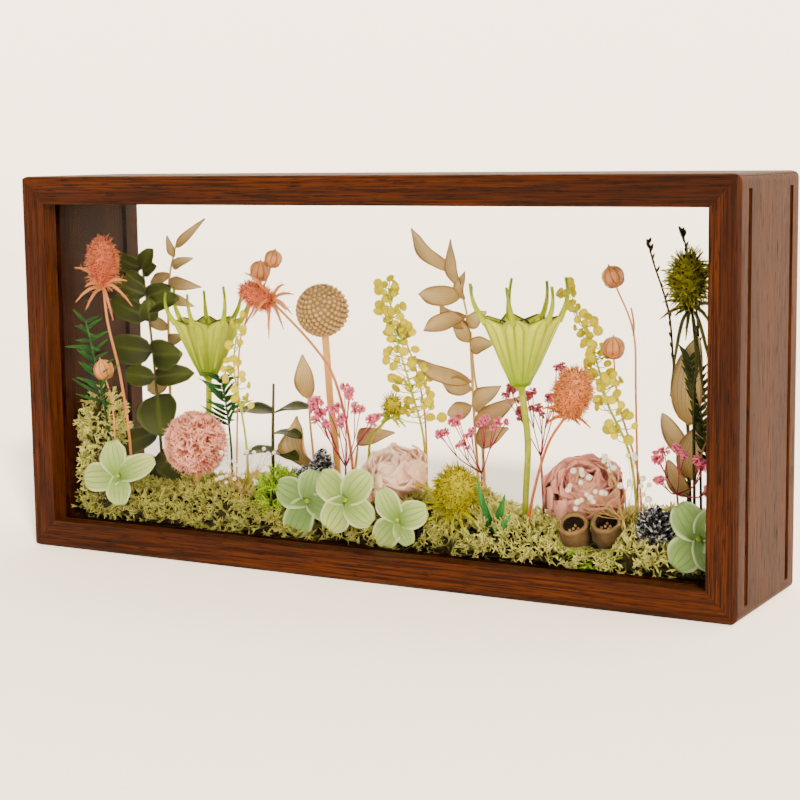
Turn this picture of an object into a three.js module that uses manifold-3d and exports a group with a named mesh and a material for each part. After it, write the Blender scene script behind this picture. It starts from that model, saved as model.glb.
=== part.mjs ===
// A shadow box of four mitred walnut boards and two clear acrylic panes, filled with preserved
// flowers, pods and leaves that stand in a bed of reindeer moss.
//
// Millimetres, +Z up. X runs along the width, the front pane faces -Y, and the origin is the
// middle of the underside.

import * as THREE from 'three';
import { mergeVertices } from 'three/addons/utils/BufferGeometryUtils.js';
import Module from 'manifold-3d';

const wasm = await Module();
wasm.setup();

// ---------------------------------------------------------------- driving dimensions

const WIDTH = 300;
const HEIGHT = 150;
const DEPTH = 63;
const BOARD = 11;              // board thickness
const MITRE_LINE = 0.1;        // glue line between two boards
const EDGE_ROUND = 1.8;        // front and back edges of the boards
const CORNER_ROUND = 3;        // outer corners of the box

const GROOVE_INSET = 7.8;      // from the front or back face to its groove
const GROOVE = 3.4;            // groove width
const GROOVE_DEEP = 5;
const SLOT_END = 5;            // wood left above and below the slots in the right board

const PANE = 2.8;              // acrylic thickness
const PANE_PLAY = 0.3;         // between a pane and the bottom of its groove
const PANE_SUNK = 1.5;         // the pane's edge sits this far inside the right board's face

const CLEAR = 0.3;             // around each stem where it passes through the moss
const FOOT = BOARD + 0.3;      // stems stand on the bottom board
const LEAF = 0.8;              // leaf and petal thickness
const STEM_SIDES = 3;

// ---------------------------------------------------------------- solids

function toSolid(geometry) {
  const bare = geometry.index ? geometry.clone() : geometry;
  bare.deleteAttribute('normal');
  bare.deleteAttribute('uv');
  const merged = mergeVertices(bare, 1e-4);
  return new wasm.Manifold(new wasm.Mesh({
    numProp: 3,
    vertProperties: new Float32Array(merged.attributes.position.array),
    triVerts: new Uint32Array(merged.index.array),
  }));
}

function joined(geometries) {
  return geometries.map(toSolid).reduce((whole, next) => whole.add(next));
}

function largestPiece(solid) {
  return solid.decompose().reduce((best, next) => (next.volume() > best.volume() ? next : best));
}

function toGeometry(solid) {
  const mesh = solid.getMesh();
  const geometry = new THREE.BufferGeometry();
  geometry.setAttribute('position', new THREE.BufferAttribute(mesh.vertProperties, 3));
  geometry.setIndex(new THREE.BufferAttribute(mesh.triVerts, 1));
  geometry.computeVertexNormals();
  return geometry;
}

// ---------------------------------------------------------------- boards and panes

// A board's section: Y across the depth, and up from the outer face to the grooved inner face.
function boardSection() {
  const half = DEPTH / 2;
  const groove = half - GROOVE_INSET;
  const section = new THREE.Shape();
  section.moveTo(-half + EDGE_ROUND, 0);
  section.lineTo(half - EDGE_ROUND, 0);
  section.absarc(half - EDGE_ROUND, EDGE_ROUND, EDGE_ROUND, -Math.PI / 2, 0);
  section.lineTo(half, BOARD);
  section.lineTo(groove, BOARD);
  section.lineTo(groove, BOARD - GROOVE_DEEP);
  section.lineTo(groove - GROOVE, BOARD - GROOVE_DEEP);
  section.lineTo(groove - GROOVE, BOARD);
  section.lineTo(-groove + GROOVE, BOARD);
  section.lineTo(-groove + GROOVE, BOARD - GROOVE_DEEP);
  section.lineTo(-groove, BOARD - GROOVE_DEEP);
  section.lineTo(-groove, BOARD);
  section.lineTo(-half, BOARD);
  section.lineTo(-half, EDGE_ROUND);
  section.absarc(-half + EDGE_ROUND, EDGE_ROUND, EDGE_ROUND, Math.PI, Math.PI * 1.5);
  return section;
}

// A board lying along X with its inner face up and both ends mitred at 45 degrees.
function mitredBoard(length) {
  const geometry = new THREE.ExtrudeGeometry(boardSection(), {
    depth: length,
    bevelEnabled: false,
    curveSegments: 2,
  });
  const place = geometry.attributes.position;
  for (let i = 0; i < place.count; i += 1) {
    const across = place.getX(i);
    const up = place.getY(i);
    const end = place.getZ(i) > length / 2 ? 1 : -1;
    place.setXYZ(i, end * (length / 2 - up - MITRE_LINE / 2), across, up);
  }
  return geometry;
}

// The whole box as one block with rounded corners, which trims the boards' outer ends.
function roundedBlock() {
  const w = WIDTH / 2;
  const h = HEIGHT / 2;
  const r = CORNER_ROUND;
  const outline = new THREE.Shape();
  outline.absarc(w - r, h - r, r, 0, Math.PI / 2);
  outline.absarc(-w + r, h - r, r, Math.PI / 2, Math.PI);
  outline.absarc(-w + r, -h + r, r, Math.PI, Math.PI * 1.5);
  outline.absarc(w - r, -h + r, r, Math.PI * 1.5, Math.PI * 2);
  return new THREE.ExtrudeGeometry(outline, { depth: DEPTH, bevelEnabled: false, curveSegments: 2 })
    .translate(0, 0, -DEPTH / 2)
    .rotateX(Math.PI / 2)
    .translate(0, 0, h);
}

function slot(side) {
  const y = side * (DEPTH / 2 - GROOVE_INSET - GROOVE / 2);
  return new THREE.BoxGeometry(BOARD * 2, GROOVE, HEIGHT - 2 * SLOT_END)
    .translate(WIDTH / 2, y, HEIGHT / 2);
}

function boards() {
  const block = toSolid(roundedBlock());
  const trimmed = (geometry) => toSolid(geometry).intersect(block);
  const quarter = Math.PI / 2;
  const right = trimmed(mitredBoard(HEIGHT).rotateY(-quarter).translate(WIDTH / 2, 0, HEIGHT / 2));
  return {
    board_bottom: trimmed(mitredBoard(WIDTH)),
    board_top: trimmed(mitredBoard(WIDTH).rotateY(Math.PI).translate(0, 0, HEIGHT)),
    board_left: trimmed(mitredBoard(HEIGHT).rotateY(quarter).translate(-WIDTH / 2, 0, HEIGHT / 2)),
    board_right: right.subtract(toSolid(slot(-1))).subtract(toSolid(slot(1))),
  };
}

function pane(side) {
  const sunk = BOARD - GROOVE_DEEP + PANE_PLAY;
  const left = -WIDTH / 2 + sunk;
  const right = WIDTH / 2 - PANE_SUNK;
  const y = side * (DEPTH / 2 - GROOVE_INSET - GROOVE / 2);
  return toSolid(new THREE.BoxGeometry(right - left, PANE, HEIGHT - 2 * sunk)
    .translate((left + right) / 2, y, HEIGHT / 2));
}

// ---------------------------------------------------------------- parts of a plant

const vector = (point) => new THREE.Vector3(...point);

// A stem's middle line: straight runs between its points.
class Bends extends THREE.Curve {
  constructor(points) {
    super();
    this.points = points.map(vector);
  }

  getPoint(part) {
    const along = part * (this.points.length - 1);
    const from = Math.min(Math.floor(along), this.points.length - 2);
    return this.points[from].clone().lerp(this.points[from + 1], along - from);
  }

  getPointAt(part) {
    return this.getPoint(part);
  }

  getTangentAt(part, target) {
    return this.getTangent(part, target);
  }
}

// A stem or spike through the points, wider than its radius by grow.
function rod(points, radius, grow) {
  const section = new THREE.Shape();
  const r = radius + grow;
  section.moveTo(r, 0);
  for (let side = 1; side < STEM_SIDES; side += 1) {
    const turn = (side / STEM_SIDES) * Math.PI * 2;
    section.lineTo(r * Math.cos(turn), r * Math.sin(turn));
  }
  return new THREE.ExtrudeGeometry(section, {
    extrudePath: new Bends(points),
    steps: points.length - 1,
    bevelEnabled: false,
  });
}

// A flat blade from base to tip, turned to face the given way.
function plate(outline, bends, base, tip, facing, grow) {
  const along = vector(tip).sub(vector(base)).normalize();
  const face = vector(facing);
  face.addScaledVector(along, -face.dot(along)).normalize();
  const across = new THREE.Vector3().crossVectors(face, along);
  const thick = LEAF + 2 * grow;
  const turn = new THREE.Matrix4().makeBasis(along, across, face).setPosition(...base);
  const cut = { depth: thick, bevelEnabled: false, curveSegments: bends };
  return new THREE.ExtrudeGeometry(outline, cut)
    .translate(0, 0, -thick / 2)
    .applyMatrix4(turn);
}

function leaf(base, tip, width, facing, grow) {
  const length = vector(tip).distanceTo(vector(base)) + grow;
  const outline = new THREE.Shape();
  outline.moveTo(-grow, 0);
  outline.quadraticCurveTo(length * 0.4, -width - grow, length, 0);
  outline.quadraticCurveTo(length * 0.4, width + grow, -grow, 0);
  return plate(outline, 2, base, tip, facing, grow);
}

function roundLeaf(base, tip, width, facing, grow) {
  const length = vector(tip).distanceTo(vector(base));
  const outline = new THREE.Shape();
  outline.absellipse(length / 2, 0, length / 2 + grow, width / 2 + grow, 0, Math.PI * 2);
  return plate(outline, 3, base, tip, facing, grow);
}

function egg(centre, radii, grow) {
  return new THREE.SphereGeometry(1, 6, 4)
    .scale(radii[0] + grow, radii[1] + grow, radii[2] + grow)
    .translate(...centre);
}

function berry(centre, radius, grow) {
  return new THREE.OctahedronGeometry(radius + grow, 0).translate(...centre);
}

// A turned solid that stands at base with its axis along the given direction.
function turned(profile, sides, base, axis, grow) {
  const points = profile.map(([r, z]) => new THREE.Vector2(r > 0 ? r + grow : 0, z));
  const turn = new THREE.Quaternion().setFromUnitVectors(
    new THREE.Vector3(0, 1, 0),
    vector(axis).normalize(),
  );
  return new THREE.LatheGeometry(points, sides).applyQuaternion(turn).translate(...base);
}

const between = (a, b, part) => a.map((value, i) => value + (b[i] - value) * part);

// ---------------------------------------------------------------- kinds of specimen

// Each returns a function of grow, so that the moss can be given a hole of the same shape.

const FRONT = [0.2, -1, 0.2];
const UP = [0, -0.2, 1];

function eryngium(stem, head, radii, bracts) {
  const neck = stem[stem.length - 1];
  return (grow) => [
    rod(stem, 0.8, grow),
    egg(head, radii, grow),
    ...bracts.map((tip) => leaf(neck, tip, 2.2, FRONT, grow)),
  ];
}

function flax(stems, pods) {
  return (grow) => [
    ...stems.map((points) => rod(points, 0.5, grow)),
    ...pods.map(([centre, radius]) => egg(centre, [radius, radius, radius * 0.95], grow)),
  ];
}

function leafy(stems, leaves, kind, radius) {
  return (grow) => [
    ...stems.map((points) => rod(points, radius, grow)),
    ...leaves.map(([base, tip, width, facing = FRONT]) => kind(base, tip, width, facing, grow)),
  ];
}

// A ribbed cup of seven pods, each ending in a horn that leans outwards.
function nigella(stem, base, radius, height, horns) {
  const cup = [[0, 0], [3.5, 0], [5, 4], [radius * 0.72, height * 0.6], [radius, height],
    [radius - 2.4, height - 0.5], [3, 7], [0, 6]];
  const horn = (length, index, grow) => {
    const turn = (index / horns.length) * Math.PI * 2;
    const out = (reach, rise) => [
      base[0] + reach * Math.sin(turn),
      base[1] - reach * Math.cos(turn),
      base[2] + rise,
    ];
    const foot = out(radius - 1.2, height - 1.4);
    return rod([foot, out(radius + length * 0.12, height + length * 0.8)], 0.6, grow);
  };
  return (grow) => [
    rod(stem, 1.3, grow),
    turned(cup, horns.length, base, [0, 0, 1], grow),
    ...horns.map((length, index) => horn(length, index, grow)),
  ];
}

// Thin stems that fork towards small round heads.
function cloud(foot, fork, heads, radius) {
  return (grow) => [
    rod([foot, fork], 0.6, grow),
    ...heads.map((head) => rod([fork, head], 0.35, grow)),
    ...heads.map((head) => berry(head, radius, grow)),
  ];
}

function discSprig(stem, discs) {
  return (grow) => [
    rod(stem, 0.5, grow),
    ...discs.map(([from, to]) => roundLeaf(stem[from], to, 4, FRONT, grow)),
  ];
}

function floret(centre, petals, foot) {
  return (grow) => [
    ...petals.map(([tip, width]) => roundLeaf(centre, tip, width, FRONT, grow)),
    rod([foot, centre], 0.6, grow),
  ];
}

// ---------------------------------------------------------------- the specimens

const specimens = {
  eryngium_pink_left: eryngium(
    [[-116, -8, FOOT], [-117, -8, 42], [-120, -9, 69], [-123, -12, 90], [-124, -13, 105]],
    [-124, -13, 115], [6.5, 6.5, 10.5],
    [[-137, -17, 112], [-136, -17, 99], [-118, -15, 93], [-109, -14, 98]],
  ),
  eryngium_pink_middle: eryngium(
    [[-16, 3, FOOT], [-18, 2, 45], [-22, -2, 71], [-31, -4, 85], [-49, -4, 101]],
    [-56, -4, 104], [9, 5.5, 6],
    [[-38, -5, 102], [-40, -5, 93], [-50, -5, 86], [-58, -5, 94]],
  ),
  eryngium_yellow_small: eryngium(
    [[-11, 4, FOOT], [-10, 3, 45], [-4, 2, 54], [0, 2, 59]],
    [1, 2, 61], [5, 4.5, 5.5],
    [[7, 0, 54], [-9, 0, 56]],
  ),
  eryngium_yellow_large: eryngium(
    [[30, -6, FOOT], [33, -8, 26]],
    [34, -8.5, 33], [10.5, 10.5, 11],
    [[18, -15, 36], [19, -15, 28], [24, -16, 19]],
  ),
  eryngium_orange: eryngium(
    [[61, -8, FOOT], [64, -7, 32], [70, -7, 52], [77, -7, 64]],
    [80, -7, 70], [6.5, 6.5, 8.5],
    [[69, -9, 66], [88, -9, 60]],
  ),
  eryngium_olive: eryngium(
    [[124, 0, FOOT], [123, 0, 71], [124, 0, 83], [122, 0, 104]],
    [121, 0, 113], [7.5, 7.5, 10.5],
    [[111, -2, 99], [131, -2, 96], [133, -2, 104]],
  ),

  flax_left: flax(
    [[[-121, -9, FOOT], [-121, -12, 36], [-119, -16, 58], [-122, -16, 69]]],
    [[[-123, -16, 72], 4.2]],
  ),
  flax_pair: flax(
    [[[-74, 6.4, FOOT], [-74, 6, 33], [-71, 5, 78], [-68, 5, 90], [-60, 5, 109]],
      [[-68, 5, 90], [-60, 4, 101], [-54, 4, 115]]],
    [[[-60, 5, 111], 4.2], [[-53, 4, 117], 3.4]],
  ),
  flax_middle: flax(
    [[[9, 14, FOOT], [9, 14, 51], [6, 14, 71], [0, 14, 88]]],
    [[[0, 14, 90], 3.4]],
  ),
  flax_right_tall: flax(
    [[[100, 7, FOOT], [99, 6, 69], [98, 6, 93], [91, 6, 111]],
      [[98, 6, 93], [97, 6, 101]]],
    [[[90, 6, 113], 4]],
  ),
  flax_right_low: flax(
    [[[103, 2, FOOT], [102, 2, 41], [93, 2, 70], [92, 2, 86]]],
    [[[92, 2, 88], 4]],
  ),

  eucalyptus_left: leafy(
    [[[-110, 6, FOOT], [-112, 4, 52], [-118, 4, 113]]],
    [
      [[-118, 4, 112], [-127, 2, 116], 6], [[-117, 4, 106], [-104, 3, 110], 8],
      [[-116.3, 4, 97], [-128, 2, 98], 8], [[-115.4, 4, 87], [-101, 6, 92], 8],
      [[-114.5, 4, 77], [-128, 1, 78], 10], [[-113.8, 4, 70], [-98, 0, 74], 10],
      [[-113, 4, 62], [-126, 2, 62], 6],
      [[-112, 4, 52], [-100, -2, 56], 13], [[-111.6, 5, 42], [-124, -1, 40], 9],
      [[-111.4, 5, 38], [-98, 2, 33], 9],
    ],
    roundLeaf, 0.7,
  ),
  eucalyptus_right: leafy(
    [[[-61, 13, FOOT], [-61, 13, 40], [-60, 13, 66]]],
    [
      [[-60, 13, 53], [-81, 13, 53], 9, UP], [[-60, 13, 53], [-42, 12, 57], 8, UP],
      [[-61, 13, 38], [-75, 13, 36], 9, UP], [[-61, 13, 38], [-47, 9, 36], 7, UP],
    ],
    roundLeaf, 0.8,
  ),

  ruscus_left: leafy(
    [[[-112, 14, FOOT], [-112, 14, 86], [-111, 14, 106], [-107, 14, 121]]],
    [
      [[-107, 14, 120], [-93, 14, 132], 4.5], [[-108, 14, 117], [-112, 12, 127], 4],
      [[-109, 14, 112], [-97, 12, 115], 6], [[-111, 14, 106], [-94, 13, 105], 7],
      [[-112, 14, 96], [-99, 13, 97], 6], [[-112, 14, 84], [-122, 13, 90], 8],
      [[-112, 14, 64], [-124, 13, 60], 8],
    ],
    leaf, 0.6,
  ),
  ruscus_middle: leafy(
    [[[-32, 16, FOOT], [-42, 17, 26], [-45, 17, 45], [-46, 17, 61]],
      [[-32, 16, FOOT], [-26, 17, 28], [-23, 17, 45]]],
    [
      [[-46, 17, 61], [-48, 16, 77], 7], [[-45, 17, 32], [-51, 16, 52], 13],
      [[-24, 17, 45], [-7, 16, 47], 6],
    ],
    leaf, 0.6,
  ),
  ruscus_right: leafy(
    [[[33, 14, FOOT], [30, 14, 57], [28, 14, 78], [24, 14, 104], [18, 14, 113]]],
    [
      [[19, 14, 112], [4, 13, 128], 8], [[24, 14, 104], [21, 13, 124], 7],
      [[24, 14, 104], [8, 13, 104], 9], [[25, 14, 98], [8, 13, 90], 8],
      [[28, 14, 78], [31, 15, 90], 9],
      [[28.5, 14, 71], [6, 13, 78], 9], [[29, 14, 64], [19, 13, 70], 8],
      [[30, 14, 62], [38, 15, 73], 8],
    ],
    leaf, 0.6,
  ),
  ruscus_far_right: leafy(
    [[[117, 11, FOOT], [117, 12, 45], [116, 12, 68]]],
    [
      [[116, 12, 66], [116, 12, 96], 15], [[117, 12, 50], [108, 11, 64], 6],
      [[117, 12, 40], [124, 12, 62], 10],
    ],
    leaf, 0.7,
  ),

  nigella_left: nigella(
    [[-90, 9, FOOT], [-90, 9, 42], [-87, 6, 57], [-85, 5, 71]],
    [-86, 5, 69], 14, 23, [13, 18, 17, 14, 12, 14, 13],
  ),
  nigella_right: nigella(
    [[59, -1, FOOT], [59, -2, 30], [60, -2, 52], [58, -2, 76]],
    [57, -2, 73], 15.5, 25, [18, 16, 14, 12, 14, 13, 14],
  ),

  needles_left: leafy(
    [[[-114, -4, FOOT], [-117, -4, 45], [-120, -5, 66], [-127, -8, 92]]],
    [
      [[-126.6, -7.8, 91], [-136, -13, 97], 2], [[-125, -7, 85], [-137, -11, 84], 2],
      [[-122.5, -6, 75], [-136, -9, 70], 2], [[-125, -7, 84], [-118, -8, 93], 2],
      [[-122, -6, 72], [-112, -8, 82], 2], [[-119.4, -4.8, 62], [-109, -7, 66], 2],
    ],
    leaf, 0.5,
  ),
  needles_middle: leafy(
    [[[-75, 3.2, FOOT], [-74.5, 3.2, 38], [-76, 2.6, 57], [-78, 2, 69]]],
    [
      [[-78, 2, 68], [-90, -2, 68], 2], [[-77, 2.3, 62], [-90, 0, 60], 2],
      [[-77, 2.3, 63], [-64, 1, 69], 2], [[-78, 2, 67], [-66, 1, 76], 2],
      [[-76, 2.6, 56], [-64, 1, 58], 2],
    ],
    leaf, 0.5,
  ),
  needles_right: leafy(
    [[[128, 7, FOOT], [126, 7, 45], [123, 7, 66], [119, 7, 82]]],
    [
      [[119, 7, 80], [116, 6, 90], 3], [[120.7, 7, 77], [128, 6, 84], 3],
      [[123, 7, 66], [130, 6, 76], 3], [[124, 7, 58], [117, 6, 66], 3],
      [[125, 7, 50], [131, 6, 60], 3],
    ],
    leaf, 0.6,
  ),
  blades_low: leafy(
    [[[50, -9, FOOT], [50, -9, 27]]],
    [[[50, -9, 26], [45, -11, 40], 2.4], [[50, -9, 26], [55, -11, 33], 2.4]],
    leaf, 0.6,
  ),

  pompon: (grow) => [
    new THREE.SphereGeometry(13 + grow, 9, 6).translate(-85, -6.4, 43),
    rod([[-85, -6, FOOT], [-85, -6.2, 20], [-85, -6.4, 32]], 1, grow),
  ],
  ball_pod: (grow) => [
    rod([[-26, 7, FOOT], [-25, 6, 43], [-29, 6, 60], [-30, 6, 74], [-31, 6, 90]], 1.35, grow),
    new THREE.IcosahedronGeometry(10.8 + grow, 1).translate(-32, 6, 97),
  ],

  disc_sprig_left: discSprig(
    [[-60, -6, FOOT], [-61, -6, 43], [-64, -6, 62], [-66, -6, 76], [-64, -6, 86]],
    [
      [4, [-62, -7, 90]], [3, [-69, -7, 82]], [3, [-59, -7, 74]], [2, [-70, -7, 66]],
      [1, [-55, -7, 58]], [1, [-67, -7, 47]],
    ],
  ),
  disc_sprig_middle: discSprig(
    [[12, 8.5, FOOT], [11, 9, 46], [6, 9, 66], [-1, 9, 88], [-4, 9, 103]],
    [
      [4, [-3, 8.5, 109]], [3, [-8, 8.5, 98]], [3, [4, 8.5, 96]], [2, [13, 8.5, 76]],
      [1, [2, 8.5, 56]], [1, [18, 8.5, 58]],
    ],
  ),
  disc_sprig_right: discSprig(
    [[105, -4, FOOT], [101, -3, 48], [92, -3, 68], [87, 1, 79], [79, 10, 90], [68, 15.5, 102]],
    [
      [5, [64, 15.5, 109]], [4, [84, 9, 94]], [2, [97, -4, 76]],
      [2, [86, -1.5, 64]], [1, [108, -4, 56]],
    ],
  ),

  breath_pink_left: cloud(
    [-15, -7, FOOT], [-16, -5, 38],
    [[-32, -5, 61], [-24, -5, 59], [-14, -5, 66], [-9, -5, 61], [-4, -4, 57]], 2.6,
  ),
  breath_pink_middle: cloud(
    [39, 4, FOOT], [38, 4, 38],
    [[21, 3, 52], [26, 4, 57], [39, 4, 56], [45, 4, 58]], 2.4,
  ),
  breath_mauve: cloud(
    [63, 7, FOOT], [62, 5, 46],
    [[50, 5, 70], [57, 6, 68], [66, 4, 68], [72, 4, 80]], 2.4,
  ),
  breath_pink_right: cloud(
    [121.5, -4, FOOT], [119, -5, 41],
    [[112, -6, 50], [120, -6, 54], [128, -6, 49]], 2.6,
  ),
  breath_white_left: cloud(
    [-60, -12, FOOT], [-60, -12, 26],
    [[-69, -12, 40], [-60, -12, 39], [-50, -12, 36], [-69, -12, 30]], 2,
  ),
  breath_white_right: cloud(
    [107, -13, FOOT], [103, -13, 32],
    [[81, -13, 38], [89, -13, 42], [98, -12, 47], [108, -12, 48]], 2,
  ),

  rose_cream: (grow) => [
    egg([6, -6, 38], [14.5, 9, 13.5], grow),
    rod([[6, -4, FOOT], [6, -5, 20], [6, -5, 28]], 1.2, grow),
  ],
  rose_mauve: (grow) => [
    egg([81, 3, 37], [17, 10, 13], grow),
    rod([[82, 3, FOOT], [82, 3, 20], [82, 3, 28]], 1.2, grow),
  ],

  hydrangea_left: floret(
    [-117, -17, 28],
    [[[-133, -17, 27], 15], [[-118, -17, 42], 13], [[-102, -17, 36], 11], [[-113, -17, 18], 11]],
    [-114, -13, FOOT],
  ),
  hydrangea_middle_a: floret(
    [-25, -16.5, 27],
    [[[-37, -16.5, 31], 12], [[-20, -16.5, 36], 10], [[-29, -16.5, 15], 11]],
    [-24, -13, FOOT],
  ),
  hydrangea_middle_b: floret(
    [-8, -18.5, 28],
    [[[-19, -18.5, 33], 12], [[-3, -18.5, 39], 12], [[-14, -18.5, 17], 11], [[1, -18.5, 24], 11]],
    [-7, -14, FOOT],
  ),
  hydrangea_middle_c: floret(
    [14, -17.5, 22],
    [[[7, -17.5, 31], 10], [[7, -17.5, 14], 11], [[25, -17.5, 25], 12]],
    [15, -13, FOOT],
  ),
  hydrangea_right: floret(
    [131, -17.5, 24],
    [[[125, -17.5, 36], 13], [[121, -17.5, 17], 13], [[137.5, -17.5, 32], 9]],
    [131, -13, FOOT],
  ),

  cone_left: (grow) => [
    egg([-30, -7, 32], [8, 6.5, 5.5], grow),
    turned([[0, 0], [4.5, 1], [2.5, 5], [0, 9]], 7, [-26, -7, 35], [0.2, 0, 1], grow),
  ],
  cone_right: (grow) => [
    egg([113, -10, 26], [7, 6, 7], grow),
  ],
  gumnut_left: (grow) => [gumnut([82, -6.5, 15.5], [0.12, -0.6, 0.8], grow)],
  gumnut_right: (grow) => [gumnut([93.5, -6.5, 17.5], [0.2, -0.6, 0.8], grow)],

  twig_left: leafy(
    [[[111, 16, FOOT], [110, 15.5, 58], [107, 13, 78], [105, 12, 100], [98, 12, 124]]],
    [[[99, 12, 121], [97, 11, 128], 2.5], [[101, 12, 115], [103, 11, 121], 2]],
    leaf, 0.6,
  ),
  twig_right: leafy(
    [[[120, 17.5, FOOT], [119, 17, 69], [117, 16, 100], [112, 16, 126]]],
    [[[112, 16, 124], [110, 15, 131], 2.5], [[114, 16, 118], [116, 15, 124], 2]],
    leaf, 0.6,
  ),
};

// A woody seed cup with a hollow mouth.
function gumnut(base, axis, grow) {
  const shell = [[0, 0], [3, 0], [5.2, 4], [5, 12], [5.6, 14], [4.4, 14], [3.8, 9], [0, 8]];
  return turned(shell, 7, base, axis, grow);
}

// ---------------------------------------------------------------- moss

const MOSS_BACK = 20.2;        // the bed reaches this far towards each pane
const MOSS_SIDE = 138.6;
const MOSS_GAP = 0.2;          // half the gap between two clumps

// The bed's surface: low against the front pane, higher in the middle and at the back.
function mossTop(x, y) {
  const rise = Math.min(1, (y + MOSS_BACK) / 16);
  const lumps = 2.2 * Math.sin(x / 13) + 1.6 * Math.cos(x / 7 + y / 6);
  return 18 + 9 * rise + lumps;
}

function bed(fromX, toX) {
  const wide = toX - fromX - 2 * MOSS_GAP;
  const geometry = new THREE.BoxGeometry(wide, 2 * MOSS_BACK, 1, 4, 2, 1)
    .translate((fromX + toX) / 2, 0, 0);
  const place = geometry.attributes.position;
  for (let i = 0; i < place.count; i += 1) {
    const top = place.getZ(i) > 0;
    place.setZ(i, top ? mossTop(place.getX(i), place.getY(i)) : FOOT);
  }
  return geometry;
}

const clumps = {
  moss_green_left: () => egg([-44, -8, 27], [8, 7, 10], 0),
  moss_green_right: () => egg([90, -15.8, 17], [11, 4, 4.4], 0),
  moss_upright: () => egg([-131, -6, 40], [7.4, 11, 24], 0),
  moss_left: () => bed(-MOSS_SIDE, -56),
  moss_middle: () => bed(-56, 42),
  moss_right: () => bed(42, MOSS_SIDE),
};

// ---------------------------------------------------------------- assembly

const WALNUT = { color: 0x5a3220, roughness: 0.5, metalness: 0 };
const ACRYLIC = { color: 0xf4f8f7, roughness: 0.05, metalness: 0, transparent: true, opacity: 0.2 };
const finishes = {
  board: WALNUT,
  pane: ACRYLIC,
  moss_green: { color: 0x9db63c, roughness: 0.9, metalness: 0 },
  moss: { color: 0xc3c77f, roughness: 0.9, metalness: 0 },
  eryngium_pink: { color: 0xe08f78, roughness: 0.8, metalness: 0 },
  eryngium_yellow: { color: 0xb5b32f, roughness: 0.8, metalness: 0 },
  eryngium_orange: { color: 0xe58f57, roughness: 0.8, metalness: 0 },
  eryngium_olive: { color: 0x6f6a1f, roughness: 0.8, metalness: 0 },
  flax: { color: 0xd9a06a, roughness: 0.6, metalness: 0 },
  eucalyptus: { color: 0x3f4a2b, roughness: 0.6, metalness: 0 },
  ruscus: { color: 0xd2bf98, roughness: 0.7, metalness: 0 },
  nigella: { color: 0xb9c86b, roughness: 0.6, metalness: 0 },
  needles: { color: 0x2c5a33, roughness: 0.5, metalness: 0 },
  blades: { color: 0x2f6b3a, roughness: 0.5, metalness: 0 },
  pompon: { color: 0xf2b3a8, roughness: 0.8, metalness: 0 },
  ball: { color: 0xb59a6e, roughness: 0.8, metalness: 0 },
  disc: { color: 0xe3d32a, roughness: 0.6, metalness: 0 },
  breath_pink: { color: 0xdb7f95, roughness: 0.8, metalness: 0 },
  breath_mauve: { color: 0x9c5b66, roughness: 0.8, metalness: 0 },
  breath_white: { color: 0xf4efe4, roughness: 0.8, metalness: 0 },
  rose_cream: { color: 0xf3d9cc, roughness: 0.7, metalness: 0 },
  rose_mauve: { color: 0xb98588, roughness: 0.7, metalness: 0 },
  hydrangea: { color: 0xb6cf9c, roughness: 0.7, metalness: 0 },
  cone: { color: 0x4a4c50, roughness: 0.4, metalness: 0 },
  gumnut: { color: 0x6f5a44, roughness: 0.8, metalness: 0 },
  twig: { color: 0x3b3a2a, roughness: 0.8, metalness: 0 },
};

function addPiece(group, name, solid) {
  const kind = Object.keys(finishes).find((start) => name.startsWith(start));
  const material = new THREE.MeshStandardMaterial(finishes[kind]);
  const mesh = new THREE.Mesh(toGeometry(solid), material);
  mesh.name = name;
  group.add(mesh);
}

const group = new THREE.Group();

for (const [name, solid] of Object.entries(boards())) {
  addPiece(group, name, solid);
}
addPiece(group, 'pane_front', pane(-1));
addPiece(group, 'pane_back', pane(1));

for (const [name, shape] of Object.entries(specimens)) {
  addPiece(group, name, joined(shape(0)));
}

// The moss packs round the stems and round the clumps made before it.
let taken = joined(Object.values(specimens).flatMap((shape) => shape(CLEAR)));
for (const [name, shape] of Object.entries(clumps)) {
  const clump = toSolid(shape());
  addPiece(group, name, largestPiece(clump.subtract(taken)));
  if (!name.startsWith('moss_green') && name !== 'moss_upright') continue;
  const middle = clump.boundingBox();
  const centre = between(middle.min, middle.max, 0.5);
  const fuller = shape().translate(...centre.map((v) => -v)).scale(1.05, 1.05, 1.05);
  taken = taken.add(toSolid(fuller.translate(...centre)));
}

export default group;
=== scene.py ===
"""A walnut shadow box of preserved flowers between two clear acrylic sheets.

Four mitred boards hold the sheets. Thistle heads, seed pods, leaves and roses stand in a bed
of reindeer moss. Lengths are millimetres until piece() turns them to metres. X runs along the
width, the front faces -Y, and the box stands on Z = 0.
"""

import math
import random

import bpy
from mathutils import Matrix, Vector, noise


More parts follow.
